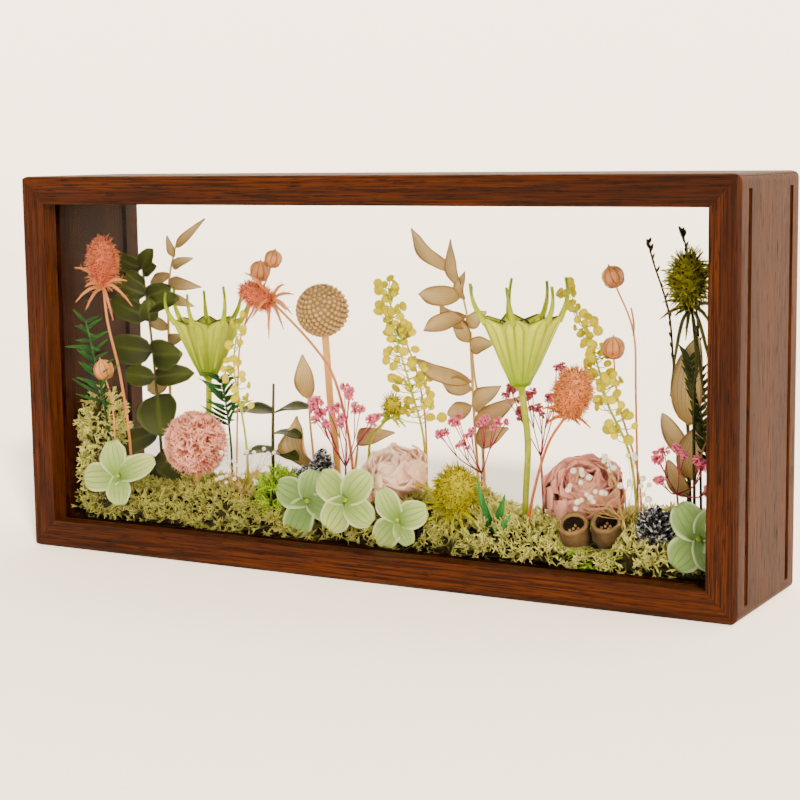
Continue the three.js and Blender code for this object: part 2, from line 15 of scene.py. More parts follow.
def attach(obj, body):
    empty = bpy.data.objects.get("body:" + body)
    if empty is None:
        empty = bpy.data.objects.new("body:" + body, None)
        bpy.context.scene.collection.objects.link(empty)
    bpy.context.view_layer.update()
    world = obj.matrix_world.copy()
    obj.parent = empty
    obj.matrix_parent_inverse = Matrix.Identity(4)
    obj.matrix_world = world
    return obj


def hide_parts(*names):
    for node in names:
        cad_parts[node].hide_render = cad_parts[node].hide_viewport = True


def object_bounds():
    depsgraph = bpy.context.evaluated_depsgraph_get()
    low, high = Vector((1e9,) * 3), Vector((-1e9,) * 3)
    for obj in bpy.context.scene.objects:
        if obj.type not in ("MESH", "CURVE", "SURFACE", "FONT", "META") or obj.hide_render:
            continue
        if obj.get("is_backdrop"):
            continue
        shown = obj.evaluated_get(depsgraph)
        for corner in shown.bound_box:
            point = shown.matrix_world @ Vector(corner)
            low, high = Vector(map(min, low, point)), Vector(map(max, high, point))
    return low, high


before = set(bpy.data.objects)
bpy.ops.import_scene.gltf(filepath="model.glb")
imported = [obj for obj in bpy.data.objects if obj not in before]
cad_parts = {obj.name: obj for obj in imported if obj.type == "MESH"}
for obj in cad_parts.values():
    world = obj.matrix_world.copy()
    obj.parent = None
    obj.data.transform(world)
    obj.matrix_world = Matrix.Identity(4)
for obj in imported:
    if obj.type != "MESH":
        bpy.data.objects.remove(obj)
MM = 0.001
TURN = 2 * math.pi
noise.seed_set(7)  # noise_vector would otherwise differ from run to run


def write_size(stage, sizes):
    sizes[stage] = [[round(v, 6) for v in corner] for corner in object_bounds()]


sizes = {}
write_size("cad", sizes)

# ------------------------------------------------------------------ driving sizes

WIDTH, HEIGHT, DEPTH = 300, 150, 63
BOARD = 11
EDGE_ROUND = 1.8  # outer long edges
CORNER_ROUND = 3  # outer corners, across the mitres
ARRIS = 0.25  # sanded edge everywhere else
MITRE_LINE = 0.1
GROOVE_INSET, GROOVE, GROOVE_DEEP = 7.8, 3.4, 5
SLOT_END = 5
PANE, PANE_PLAY, PANE_SUNK = 2.8, 0.3, 1.5
PANE_EDGE = 0.3  # polished arris of a sheet
PANE_Y = DEPTH / 2 - GROOVE_INSET - GROOVE / 2

ROOM_Y = PANE_Y - PANE / 2 - 0.25  # plants stay inside this
ROOM_X = WIDTH / 2 - BOARD - 0.35
ROOM_Z = BOARD + 0.3
# The dark middle of the bed is a core in painted shade.
MOSS_BASE_Y = 16.5  # the dark middle of the bed, under its strands
PRESSED_Y = -15.6  # moss behind a floret comes no further forward
NUT_SEAT = 17.5  # top of the moss under the gum nuts
FRONT = (0.2, -1, 0.2)  # the way a leaf faces unless it is told otherwise
GOLDEN_ANGLE = math.pi * (3 - math.sqrt(5))

# ------------------------------------------------------------------ finishes


def add(tree, kind, sockets=(), **settings):
    """Adds a node. Each socket, by name or number, gets a value or a link."""
    node = tree.nodes.new(kind)
    for name, value in settings.items():
        setattr(node, name, value)
    for name, value in dict(sockets).items():
        if isinstance(value, bpy.types.NodeSocket):
            tree.links.new(value, node.inputs[name])
        else:
            node.inputs[name].default_value = value
    return node


def colour(code):
    """Linear colour from an sRGB hex code."""
    parts = [int(code[i : i + 2], 16) / 255 for i in (1, 3, 5)]
    return [p / 12.92 if p < 0.04045 else ((p + 0.055) / 1.055) ** 2.4 for p in parts] + [1]


def begin(name, roughness, ior=1.45):
    """A new finish and its shader."""
    made = bpy.data.materials.new(name)
    made.use_nodes = True
    shader = made.node_tree.nodes["Principled BSDF"]
    shader.inputs["Roughness"].default_value = roughness
    shader.inputs["IOR"].default_value = ior
    return made, made.node_tree, shader


def walnut(name, grain, shift):
    """Oiled walnut, planed and sanded: red brown and nearly matte, with slow dark bands and fine
    open pores that run along the board. Grain is the board's long axis, 0 for X or 2 for Z.
    The pores are drawn about twice as wide as real ones, so that they show."""
    made, tree, shader = begin(name, 0.5, 1.5)
    shader.inputs["Specular IOR Level"].default_value = 0.08
    place = add(tree, "ShaderNodeTexCoord").outputs["Object"]

    def streaks(length, width, detail, turn):
        """Noise in streaks of this length and width in millimetres."""
        size = [1 / (width * MM)] * 3
        size[grain] = 1 / (length * MM)
        spot = add(tree, "ShaderNodeMapping", {"Vector": place, "Scale": size, "Location": turn})
        return add(
            tree, "ShaderNodeTexNoise",
            {"Vector": spot.outputs[0], "Scale": 1.0, "Detail": detail, "Roughness": 0.55},
        ).outputs["Fac"]

    bands = streaks(170, 9, 3.0, (shift, 0.3, shift))
    fibres = streaks(26, 0.6, 4.0, (0.7, shift, 0.2))
    pores = streaks(9, 0.42, 2.0, (shift, shift, 0.9))
    broad = add(tree, "ShaderNodeMapRange", {"Value": bands, "From Min": 0.36, "From Max": 0.64})
    mid = add(
        tree, "ShaderNodeMix",
        {0: broad.outputs[0], 6: colour("#2a0f00"), 7: colour("#3f1b01")},
        data_type="RGBA",
    )
    fine = add(tree, "ShaderNodeMapRange", {"Value": fibres, "From Min": 0.38, "From Max": 0.62})
    streaked = add(
        tree, "ShaderNodeMix",
        {0: fine.outputs[0], 6: colour("#160600"), 7: mid.outputs[2]},
        data_type="RGBA",
    )
    open_pores = add(
        tree, "ShaderNodeMapRange", {"Value": pores, "From Min": 0.58, "From Max": 0.66}
    )
    pored = add(
        tree, "ShaderNodeMix",
        {0: open_pores.outputs[0], 6: streaked.outputs[2], 7: colour("#0d0401")},
        data_type="RGBA",
    )
    tree.links.new(pored.outputs[2], shader.inputs["Base Color"])
    rough = add(
        tree, "ShaderNodeMapRange", {"Value": open_pores.outputs[0], "To Min": 0.55, "To Max": 0.8}
    )
    tree.links.new(rough.outputs[0], shader.inputs["Roughness"])
    grain_height = add(
        tree, "ShaderNodeMath", {0: fibres, 1: open_pores.outputs[0]}, operation="SUBTRACT"
    )
    bump = add(
        tree, "ShaderNodeBump",
        {"Height": grain_height.outputs[0], "Strength": 0.22, "Distance": 0.15 * MM},
    )
    tree.links.new(bump.outputs[0], shader.inputs["Normal"])
    return made


def acrylic():
    """Museum acrylic, polished and coated against glare: clear, with a faint reflection. Its
    index is below plain acrylic's 1.49, because the coat takes off most of the glare."""
    made, _, shader = begin("clear museum acrylic", 0.0, 1.2)
    shader.inputs["Base Color"].default_value = colour("#fdfffe")
    shader.inputs["Specular Tint"].default_value = colour("#4a4a4a")
    shader.inputs["Transmission Weight"].default_value = 1.0
    return made


def grown(name, foot, tip, dark, roughness=0.6, veins=0, vein=None, rim=None, spread=0.5,
          gloss=0.2):
    """A dried plant's skin: matte, with blotches about 2 mm across. The colour runs from foot
    to tip along each leaf or petal, and spread says how far a leaf may turn to the dark colour
    by its own shade. Veins run lengthwise in the number given, the rim colour lies along each
    edge (a dry outer edge on most leaves, painted shade in the grooves of a nigella pod), and
    gloss is what is left of the fresh leaf's wax."""
    made, tree, shader = begin(name, roughness)
    shader.inputs["Specular IOR Level"].default_value = gloss
    along = add(tree, "ShaderNodeAttribute", attribute_name="along").outputs["Fac"]
    across = add(tree, "ShaderNodeAttribute", attribute_name="across").outputs["Fac"]
    shade = add(tree, "ShaderNodeAttribute", attribute_name="shade").outputs["Fac"]
    place = add(tree, "ShaderNodeTexCoord").outputs["Object"]
    surface = add(
        tree, "ShaderNodeMix", {0: along, 6: colour(foot), 7: colour(tip)}, data_type="RGBA"
    ).outputs[2]
    blotches = add(
        tree, "ShaderNodeTexNoise", {"Vector": place, "Scale": 1 / (2.2 * MM), "Detail": 3.0}
    ).outputs["Fac"]
    uneven = add(tree, "ShaderNodeMath", {0: blotches, 1: shade}, operation="MULTIPLY")
    darker = add(
        tree, "ShaderNodeMapRange",
        {"Value": uneven.outputs[0], "From Min": 0.0, "From Max": 0.55, "To Max": spread},
    )
    surface = add(
        tree, "ShaderNodeMix", {0: darker.outputs[0], 6: surface, 7: colour(dark)}, data_type="RGBA"
    ).outputs[2]
    if veins:
        waves = add(tree, "ShaderNodeMath", {0: across, 1: veins * math.pi}, operation="MULTIPLY")
        line = add(tree, "ShaderNodeMath", {0: waves.outputs[0]}, operation="COSINE")
        mask = add(
            tree, "ShaderNodeMapRange",
            {"Value": line.outputs[0], "From Min": 0.55, "From Max": 1.0, "To Max": 0.75},
        )
        surface = add(
            tree, "ShaderNodeMix",
            {0: mask.outputs[0], 6: surface, 7: colour(vein)},
            data_type="RGBA",
        ).outputs[2]
        bump = add(
            tree, "ShaderNodeBump",
            {"Height": mask.outputs[0], "Strength": 0.5, "Distance": 0.12 * MM},
        )
        tree.links.new(bump.outputs[0], shader.inputs["Normal"])
    if rim:
        edge = add(tree, "ShaderNodeMath", {0: across}, operation="ABSOLUTE")
        mask = add(
            tree, "ShaderNodeMapRange",
            {"Value": edge.outputs[0], "From Min": 0.72, "From Max": 1.0},
        )
        surface = add(
            tree, "ShaderNodeMix",
            {0: mask.outputs[0], 6: surface, 7: colour(rim)},
            data_type="RGBA",
        ).outputs[2]
    tree.links.new(surface, shader.inputs["Base Color"])
    return made


# ------------------------------------------------------------------ growing shapes


def smooth(points, steps=5):
    """A rounded path through the points."""
    knots = [Vector(p) for p in points]
    knots = [knots[0] * 2 - knots[1], *knots, knots[-1] * 2 - knots[-2]]
    path = []
    for a, b, c, d in zip(knots, knots[1:], knots[2:], knots[3:]):
        for i in range(steps):
            t = i / steps
            path.append(
                (b * 2 + (c - a) * t + (a * 2 - b * 5 + c * 4 - d) * t**2
                 + (b * 3 - a - c * 3 + d) * t**3) / 2
            )
    return [*path, knots[-2]]


def spiral(count):
    """Directions spread evenly over a ball, in the spiral order of a seed head."""
    for k in range(count):
        height = 1 - (2 * k + 1) / count
        reach = math.sqrt(1 - height * height)
        angle = k * GOLDEN_ANGLE
        yield Vector((reach * math.cos(angle), reach * math.sin(angle), height))


def upright(axis):
    """The turn that stands a shape made along +Z on this axis."""
    return Vector((0, 0, 1)).rotation_difference(Vector(axis)).to_matrix()


def in_egg(centre, radii, spot):
    """Where a spot of the unit ball comes in an egg with this centre and these three radii."""
    return Vector(centre) + Vector(r * v for r, v in zip(radii, spot))


def astray(chance, reach):
    """A random offset, up to this reach each way."""
    return Vector(chance.uniform(-reach, reach) for _ in range(3))


def between_rings(around, last):
    """The faces between rings of points, up to the last ring, with this many points around."""
    for i in range(last):
        for k in range(around):
            beside = (k + 1) % around
            yield (i * around + k, i * around + beside,
                   (i + 1) * around + beside, (i + 1) * around + k)


# Outlines: how wide a leaf is at t, which runs from 0 at its foot to 1 at its tip.
def lance(t):
    return max(0, math.sin(math.pi * t**0.8)) ** 1.1


def ovate(t):
    return max(0, math.sin(math.pi * t**0.85)) ** 0.65


def pointed(t):
    return max(0, math.sin(math.pi * t**0.75)) ** 0.85


def needle(t):
    return min(1, 6 * t, 1.6 * (1 - t) ** 0.7)


def rounded(t):
    return max(0, math.sin(math.pi * t**0.9)) ** 0.45


class Growth:
    """The skins that make up one piece. Each point keeps its place along and across its leaf
    or stem, and each leaf its own shade."""

    def __init__(self, seed):
        self.points, self.faces, self.marks, self.coats = [], [], [], []
        self.finishes, self.coat = [], 0
        self.random = random.Random(seed)

    def wear(self, finish):
        """What follows has this finish."""
        if finish not in self.finishes:
            self.finishes.append(finish)
        self.coat = self.finishes.index(finish)
        return self

    def skin(self, points, faces, marks):
        """Adds points with their marks, and faces in the finish that is worn."""
        first = len(self.points)
        self.points.extend(points)
        self.marks.extend(marks)
        self.faces.extend([first + corner for corner in face] for face in faces)
        self.coats.extend([self.coat] * len(faces))

    def loops(self, loops, shade=None):
        """A closed skin over loops of points, each anticlockwise about the way they run."""
        shade = self.random.random() if shade is None else shade
        around, last = len(loops[0]), len(loops) - 1
        ends = [tuple(reversed(range(around))), tuple(last * around + k for k in range(around))]
        marks = [(i / last, k / around, shade) for i in range(last + 1) for k in range(around)]
        self.skin([p for loop in loops for p in loop], [*between_rings(around, last), *ends], marks)

    def stem(self, path, radius, sides=6, end=None):
        """A round stem along the path, from its radius to its end radius."""
        end = radius if end is None else end
        path = [Vector(p) for p in path]
        side = Vector((0.3, 1, 0.1))
        loops = []
        for i, point in enumerate(path):
            way = (path[min(i + 1, len(path) - 1)] - path[max(i - 1, 0)]).normalized()
            side = (side - way * side.dot(way)).normalized()
            up = way.cross(side)
            r = radius + (end - radius) * i / (len(path) - 1)
            loops.append([
                point + (side * math.cos(a) + up * math.sin(a)) * r
                for a in (TURN * k / sides for k in range(sides))
            ])
        self.loops(loops)

    def turned(self, profile, base, axis=(0, 0, 1), sides=16, swell=None):
        """A turned skin of (radius, height) points; swell scales the radius by angle and height."""
        turn = upright(axis)
        loops = []
        for r, z in profile:
            angles = [TURN * k / sides for k in range(sides)]
            scales = [swell(a, z) if swell else 1 for a in angles]
            loops.append([
                Vector(base) + turn @ Vector((r * s * math.cos(a), r * s * math.sin(a), z))
                for a, s in zip(angles, scales)
            ])
        self.loops(loops)

    def ball(self, centre, radii, axis=(0, 0, 1), sides=12, rows=8):
        """A ball, longer along its axis by the last of its radii."""
        across, tall = radii
        profile = [
            (max(0.02 * across, across * math.sin(math.pi * i / rows)),
             -tall * math.cos(math.pi * i / rows))
            for i in range(rows + 1)
        ]
        self.turned(profile, centre, axis, sides)

    def sheet(self, rows, thick):
        """A closed leaf of even thickness about a grid of points."""
        shade = self.random.random()
        high, wide = len(rows), len(rows[0])
        top, under = [], []
        for i in range(high):
            for j in range(wide):
                up = rows[min(i + 1, high - 1)][j] - rows[max(i - 1, 0)][j]
                side = rows[i][min(j + 1, wide - 1)] - rows[i][max(j - 1, 0)]
                face = up.cross(side).normalized() * thick / 2
                top.append(rows[i][j] + face)
                under.append(rows[i][j] - face)
        count = high * wide
        faces = []
        for i in range(high - 1):
            for j in range(wide - 1):
                a = i * wide + j
                faces.append((a, a + wide, a + wide + 1, a + 1))
                faces.append((count + a, count + a + 1, count + a + wide + 1, count + a + wide))
        rim = (
            [i * wide for i in range(high - 1)]
            + [(high - 1) * wide + j for j in range(wide - 1)]
            + [i * wide + wide - 1 for i in range(high - 1, 0, -1)]
            + list(range(wide - 1, 0, -1))
        )
        for a, b in zip(rim, rim[1:] + rim[:1]):
            faces.append((a, count + a, count + b, b))
        marks = [
            (i / (high - 1), 2 * j / (wide - 1) - 1, shade)
            for i in range(high)
            for j in range(wide)
        ]
        self.skin(top + under, faces, marks * 2)

    def leaf(self, base, tip, width, facing=FRONT, outline=lance, bow=0.1, cup=0.2, wave=0.0,
             thick=0.3, rows=8, cols=4):
        """A leaf from base to tip. It bows out of its plane, its sides lift by cup, and its
        edge ripples by wave."""
        base, run, face = Vector(base), Vector(tip) - Vector(base), Vector(facing)
        length = run.length
        way = run / length
        face = (face - way * face.dot(way)).normalized()
        side = face.cross(way)
        start = self.random.uniform(0, TURN)
        grid = []
        for i in range(rows + 1):
            t = i / rows
            middle = base + run * t + face * bow * length * math.sin(math.pi * t)
            half = width / 2 * max(outline(t), 0.07)
            line = []
            for j in range(cols + 1):
                s = 2 * j / cols - 1
                ripple = wave * half * s * s * math.sin(start + 8 * t + 2.5 * s)
                line.append(middle + side * half * s + face * (cup * half * s * s + ripple))
            grid.append(line)
        self.sheet(grid, thick)

    def ribbon(self, path, width, thick=0.25):
        """A narrow pointed leaf along a curved path, a little keeled."""
        facing, last = Vector(FRONT), len(path) - 1
        grid = []
        for i, point in enumerate(path):
            way = path[min(i + 1, last)] - path[max(i - 1, 0)]
            side = facing.cross(way).normalized() * width / 2 * max(needle(i / last), 0.07)
            grid.append([point - side, point - facing * width * 0.1, point + side])
        self.sheet(grid, thick)

    def crumple(self, first, height, size):
        """Wrinkles every point from the first one on, like a petal that dried."""
        for i in range(first, len(self.points)):
            self.points[i] += noise.noise_vector(self.points[i] / size) * height

    def absorb(self, mesh):
        """Takes over another mesh, with its finishes."""
        first = len(self.points)
        self.points.extend(v.co.copy() for v in mesh.vertices)
        read = [mesh.attributes[name].data for name in ("along", "across", "shade")]
        self.marks.extend(zip(*([item.value for item in data] for data in read)))
        coats = []
        for finish in mesh.materials:
            self.wear(finish)
            coats.append(self.coat)
        for face in mesh.polygons:
            self.faces.append([first + corner for corner in face.vertices])
            self.coats.append(coats[face.material_index])

    def mesh(self, name):
        """The growth as a mesh. Its marks are attributes that the finishes read."""
        made = bpy.data.meshes.new(name)
        made.from_pydata(self.points, [], self.faces)
        for i, mark in enumerate(("along", "across", "shade")):
            data = made.attributes.new(mark, "FLOAT", "POINT").data
            data.foreach_set("value", [values[i] for values in self.marks])
        for finish in self.finishes:
            made.materials.append(finish)
        made.polygons.foreach_set("material_index", self.coats)
        made.polygons.foreach_set("use_smooth", [True] * len(self.faces))
        made.update()
        return made


def to_object(name, data, collection=None):
    """A new object of this mesh, lamp or camera, in the scene or in the collection given."""
    made = bpy.data.objects.new(name, data)
    (collection or bpy.context.scene.collection).objects.link(made)
    return made


def evaluated(made):
    """The plain mesh of an object with its modifiers, and the object gone."""
    mesh = bpy.data.meshes.new_from_object(
        made.evaluated_get(bpy.context.evaluated_depsgraph_get())
    )
    bpy.data.objects.remove(made)
    return mesh


def piece(node, mesh):
    """Hands a finished piece over to the frame, in metres."""
    mesh.transform(Matrix.Scale(MM, 4))
    made = to_object(node.replace("_", "-"), mesh)
    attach(made, "root")
    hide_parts(node)


# ------------------------------------------------------------------ strewing


def strewing():
    """Geometry nodes that stand small shapes all over a surface, each at its own lean, spin,
    size and shade."""
    tree = bpy.data.node_groups.new("strewn shapes", "GeometryNodeTree")
    for name, kind in (
        ("Surface", "NodeSocketGeometry"),
        ("Shapes", "NodeSocketCollection"),
        ("Per square mm", "NodeSocketFloat"),
        ("Apart", "NodeSocketFloat"),
        ("Smallest", "NodeSocketFloat"),
        ("Largest", "NodeSocketFloat"),
        ("Lean", "NodeSocketFloat"),
        ("Seed", "NodeSocketInt"),
        ("Finish", "NodeSocketMaterial"),
    ):
        tree.interface.new_socket(name, in_out="INPUT", socket_type=kind)
    tree.interface.new_socket("Strewn", in_out="OUTPUT", socket_type="NodeSocketGeometry")
    given = add(tree, "NodeGroupInput").outputs
    spots = add(
        tree, "GeometryNodeDistributePointsOnFaces",
        {"Mesh": given["Surface"], "Distance Min": given["Apart"],
         "Density Max": given["Per square mm"], "Seed": given["Seed"]},
        distribute_method="POISSON",
    )
    shapes = add(
        tree, "GeometryNodeCollectionInfo",
        {"Collection": given["Shapes"], "Separate Children": True, "Reset Children": True},
    )
    lean_back = add(tree, "ShaderNodeMath", {0: given["Lean"], 1: -1.0}, operation="MULTIPLY")
    low = add(
        tree, "ShaderNodeCombineXYZ",
        {"X": lean_back.outputs[0], "Y": lean_back.outputs[0], "Z": 0.0},
    )
    high = add(tree, "ShaderNodeCombineXYZ", {"X": given["Lean"], "Y": given["Lean"], "Z": TURN})
    turn = add(
        tree, "FunctionNodeRandomValue",
        {0: low.outputs[0], 1: high.outputs[0], "Seed": given["Seed"]},
        data_type="FLOAT_VECTOR",
    )
    size = add(
        tree, "FunctionNodeRandomValue",
        {2: given["Smallest"], 3: given["Largest"], "Seed": given["Seed"]},
        data_type="FLOAT",
    )
    stood = add(
        tree, "GeometryNodeInstanceOnPoints",
        {"Points": spots.outputs["Points"], "Instance": shapes.outputs[0], "Pick Instance": True,
         "Rotation": spots.outputs["Rotation"], "Scale": size.outputs[1]},
    )
    turned = add(
        tree, "GeometryNodeRotateInstances",
        {"Instances": stood.outputs[0], "Rotation": turn.outputs[0], "Local Space": True},
    )
    shade = add(tree, "FunctionNodeRandomValue", {"Seed": 5}, data_type="FLOAT")
    marked = add(
        tree, "GeometryNodeStoreNamedAttribute",
        {"Geometry": turned.outputs[0], "Name": "shade", "Value": shade.outputs[1]},
        data_type="FLOAT", domain="INSTANCE",
    )
    real = add(tree, "GeometryNodeRealizeInstances", {0: marked.outputs[0]})
    finished = add(
        tree, "GeometryNodeSetMaterial", {"Geometry": real.outputs[0], "Material": given["Finish"]}
    )
    add(tree, "NodeGroupOutput", {0: finished.outputs[0]})
    return tree


STREWING = strewing()


def strew(surface, shapes, finish, seed, thickly, apart, smallest, largest, lean):
    """Strews the shapes over a growth's surface and returns them as a plain mesh. Thickly is
    the most on a square millimetre, and apart the least distance between two."""
    shelf = bpy.data.collections.new("small shapes")
    kept = [to_object("shape", shape.mesh("shape"), shelf) for shape in shapes]
    made = to_object("surface", surface.mesh("surface"))
    strewn = made.modifiers.new("strewn", "NODES")
    strewn.node_group = STREWING
    inputs = {
        "Shapes": shelf, "Finish": finish, "Seed": seed, "Per square mm": thickly,
        "Apart": apart, "Smallest": smallest, "Largest": largest, "Lean": lean,
    }
    for socket in STREWING.interface.items_tree:
        if socket.name in inputs:
            strewn[socket.identifier] = inputs[socket.name]
    mesh = evaluated(made)
    for shape in kept:
        bpy.data.objects.remove(shape)
    bpy.data.collections.remove(shelf)
    return mesh


# ------------------------------------------------------------------ the box

WALNUT_X = [walnut("oiled walnut, bottom", 0, 0.0), walnut("oiled walnut, top", 0, 3.7)]
WALNUT_Z = [walnut("oiled walnut, left", 2, 1.9), walnut("oiled walnut, right", 2, 5.2)]
ACRYLIC = acrylic()


def board_section():
    """A board's section, anticlockwise: across the depth, and up from its outer face."""
    half, groove = DEPTH / 2, DEPTH / 2 - GROOVE_INSET
    arc = [math.radians(a) for a in range(0, 91, 15)]
    bend = [(half - EDGE_ROUND * (1 - math.sin(a)), EDGE_ROUND * (1 - math.cos(a))) for a in arc]
    inner = [(half, BOARD), (groove, BOARD), (groove, BOARD - GROOVE_DEEP),
             (groove - GROOVE, BOARD - GROOVE_DEEP), (groove - GROOVE, BOARD)]
    side = [*bend, *inner]
    return [*side, *((-y, up) for y, up in reversed(side))]


def mitred_board(length, finish):
    """A board along X, inner face up, mitred at both ends, its outer corners rounded."""
    board = Growth(1).wear(finish)
    deepest = CORNER_ROUND * (1 - math.sqrt(0.5))
    near = length / 2 - BOARD - CORNER_ROUND
    steps = (0, 0.5, 0.7, 0.8, 0.86, 0.91, 0.95, 0.98, 1)
    loops = []
    for side, order in ((-1, reversed(steps)), (1, steps)):
        for step in order:
            loop = []
            for y, up in board_section():
                end = length / 2 - max(up, deepest) - MITRE_LINE / 2
                x = near + (end - near) * step
                past = max(0, x - length / 2 + CORNER_ROUND)
                drop = CORNER_ROUND - math.sqrt(CORNER_ROUND**2 - past**2)
                loop.append(Vector((side * x, y, max(up, drop))))
            loops.append(loop)
    board.loops(loops)
    return board


def block(low, high, finish):
    """A plain block between its lowest and its highest corner."""
    made = Growth(1).wear(finish)
    corners = ((high[1], low[2]), (high[1], high[2]), (low[1], high[2]), (low[1], low[2]))
    made.loops([[Vector((x, y, z)) for y, z in corners] for x in (low[0], high[0])])
    return made


def eased(growth, place, arris, cuts=()):
    """The solid with its edges eased and the cuts taken out of it."""
    mesh = growth.mesh("solid")
    mesh.transform(place)
    made = to_object("solid", mesh)
    cutters = [to_object("cut", cut.mesh("cut")) for cut in cuts]
    for cutter in cutters:
        slotting = made.modifiers.new("slot", "BOOLEAN")
        slotting.operation = "DIFFERENCE"
        slotting.solver = "EXACT"
        slotting.object = cutter
    easing = made.modifiers.new("arris", "BEVEL")
    easing.width = arris
    easing.segments = 2
    easing.limit_method = "ANGLE"
    easing.angle_limit = math.radians(40)
    made.modifiers.new("flat faces stay flat", "WEIGHTED_NORMAL")
    mesh = evaluated(made)
    for cutter in cutters:
        bpy.data.objects.remove(cutter)
    return mesh


def build_box():
    """Four mitred boards, the right one slotted, and the two sheets in their grooves."""
    stand = Matrix.Translation((0, 0, HEIGHT / 2))
    turn = math.pi / 2
    slots = [
        block(
            (WIDTH / 2 - 2 * BOARD, side * PANE_Y - GROOVE / 2, SLOT_END),
            (WIDTH / 2 + BOARD, side * PANE_Y + GROOVE / 2, HEIGHT - SLOT_END),
            WALNUT_Z[1],
        )
        for side in (-1, 1)
    ]
    bottom = mitred_board(WIDTH, WALNUT_X[0])
    piece("board_bottom", eased(bottom, Matrix(), ARRIS))
    top = mitred_board(WIDTH, WALNUT_X[1])
    over = Matrix.Translation((0, 0, HEIGHT)) @ Matrix.Rotation(math.pi, 4, "Y")
    piece("board_top", eased(top, over, ARRIS))
    left = mitred_board(HEIGHT, WALNUT_Z[0])
    place = Matrix.Translation((-WIDTH / 2, 0, 0)) @ stand @ Matrix.Rotation(turn, 4, "Y")
    piece("board_left", eased(left, place, ARRIS))
    right = mitred_board(HEIGHT, WALNUT_Z[1])
    place = Matrix.Translation((WIDTH / 2, 0, 0)) @ stand @ Matrix.Rotation(-turn, 4, "Y")
    piece("board_right", eased(right, place, ARRIS, slots))

    sunk = BOARD - GROOVE_DEEP + PANE_PLAY
    for node, side in (("pane_front", -1), ("pane_back", 1)):
        sheet = block(
            (-WIDTH / 2 + sunk, side * PANE_Y - PANE / 2, sunk),
            (WIDTH / 2 - PANE_SUNK, side * PANE_Y + PANE / 2, HEIGHT - sunk),
            ACRYLIC,
        )
        piece(node, eased(sheet, Matrix(), PANE_EDGE))


# ------------------------------------------------------------------ moss

# Reindeer moss keeps soft in glycerine: matte strands, pale at the tips. The dark core
# and the dark foot of each strand are painted shade deep in the clump.
MOSS_SHADE_CORE = grown("moss core, painted shade", "#221c06", "#37320e", "#120e04", 0.95)
# Two copies of one lime dyed moss that differ mostly by light: the darker is painted shade, the
# paler painted light.
MOSS_SHADED = grown("reindeer moss, dyed lime, painted shade", "#1a1c00", "#d0d062", "#2c2e06", 0.8,
                  spread=0.45)
MOSS_LIT = grown("reindeer moss, dyed lime, painted light", "#5a5c08", "#fffe90", "#8a8b26", 0.8,
                  spread=0.2)
MOSS_BRIGHT = grown("reindeer moss, dyed bright lime", "#234000", "#b4e020", "#3a5a08", 0.8)


def moss_sprig(seed):
    """One forked strand of reindeer moss, pale towards its tips and dark at its foot with painted
    shade.
    """
    sprig = Growth(seed)
    chance = sprig.random
    first_length, thickness, spread, tall = 3.3, 0.42, 1.15, 6.8

    def fork(foot, way, length, radius, levels):
        tip = foot + way * length
        sprig.stem([foot, tip], radius, 3, radius * (0.85 if levels else 0.45))
        if not levels:
            return
        for _ in range(3 if levels == 2 else 2 + chance.randrange(2)):
            lean = Vector((chance.uniform(-1, 1), chance.uniform(-1, 1), chance.uniform(-0.4, 0.8)))
            fork(tip, (way + lean * spread).normalized(), length * 0.8, radius * 0.9, levels - 1)

    fork(Vector((0, 0, -0.5)), Vector((0, 0, 1)), first_length, thickness, 2)
    # The colour runs by height: the dark foot is painted shade deep in the bed, the pale tip the
    # moss's own colour.
    sprig.marks = [(min(1, max(0, p.z / tall) ** 1.9), 0, 0) for p in sprig.points]
    return sprig


SPRIGS = [moss_sprig(seed) for seed in range(1, 7)]
# What presses on the moss: the x, z and reach of each floret, and the nuts' x and reach.
FLORETS = [(-117, 30, 14), (-27, 26, 12), (-8, 28, 12.5), (14, 23, 12), (131, 26, 14)]
NUTS = (89.5, 10)


def moss_top(x, y):
    """The bed's surface: low against the front sheet, higher in the middle and at the back."""
    low, rise, slope = 18, 9, 16
    lumps = 2.2 * math.sin(x / 13) + 1.6 * math.cos(x / 7 + y / 6)
    return low + rise * min(1, (y + ROOM_Y) / slope) + lumps


def press(mesh):
    """The moss is pressed back behind the florets and down under the gum nuts."""
    for vertex in mesh.vertices:
        for x, z, reach in FLORETS:
            if math.hypot(vertex.co.x - x, vertex.co.z - z) < reach:
                vertex.co.y = max(vertex.co.y, PRESSED_Y)
        x, reach = NUTS
        beside = max(0, abs(vertex.co.x - x) - reach)
        if vertex.co.y < 1:
            seat = NUT_SEAT + 2.5 * beside + noise.noise(vertex.co / 3)
            vertex.co.z = min(vertex.co.z, seat)


def keep_inside(mesh):
    """Whatever reaches a sheet or a board lies flat against it. At a sheet the depth varies by
    up to 0.24, so that two strands don't lie in one plane."""
    for vertex in mesh.vertices:
        x, y, z = vertex.co
        flat_y = ROOM_Y - 0.12 * (abs(x * 7.3 + z * 3.1) % 2)
        vertex.co = (
            max(-ROOM_X, min(ROOM_X, x)),
            max(-flat_y, min(flat_y, y)),
            max(ROOM_Z, z),
        )
    return mesh


def moss(node, core, surface, finish, seed, thickly):
    """A core in painted shade with strands strewn over its surface."""
    core.absorb(strew(surface, SPRIGS, finish, seed, thickly, apart=0.9, smallest=0.65,
                      largest=1.2, lean=1.0))
    mesh = core.mesh(node)
    press(mesh)
    piece(node, keep_inside(mesh))


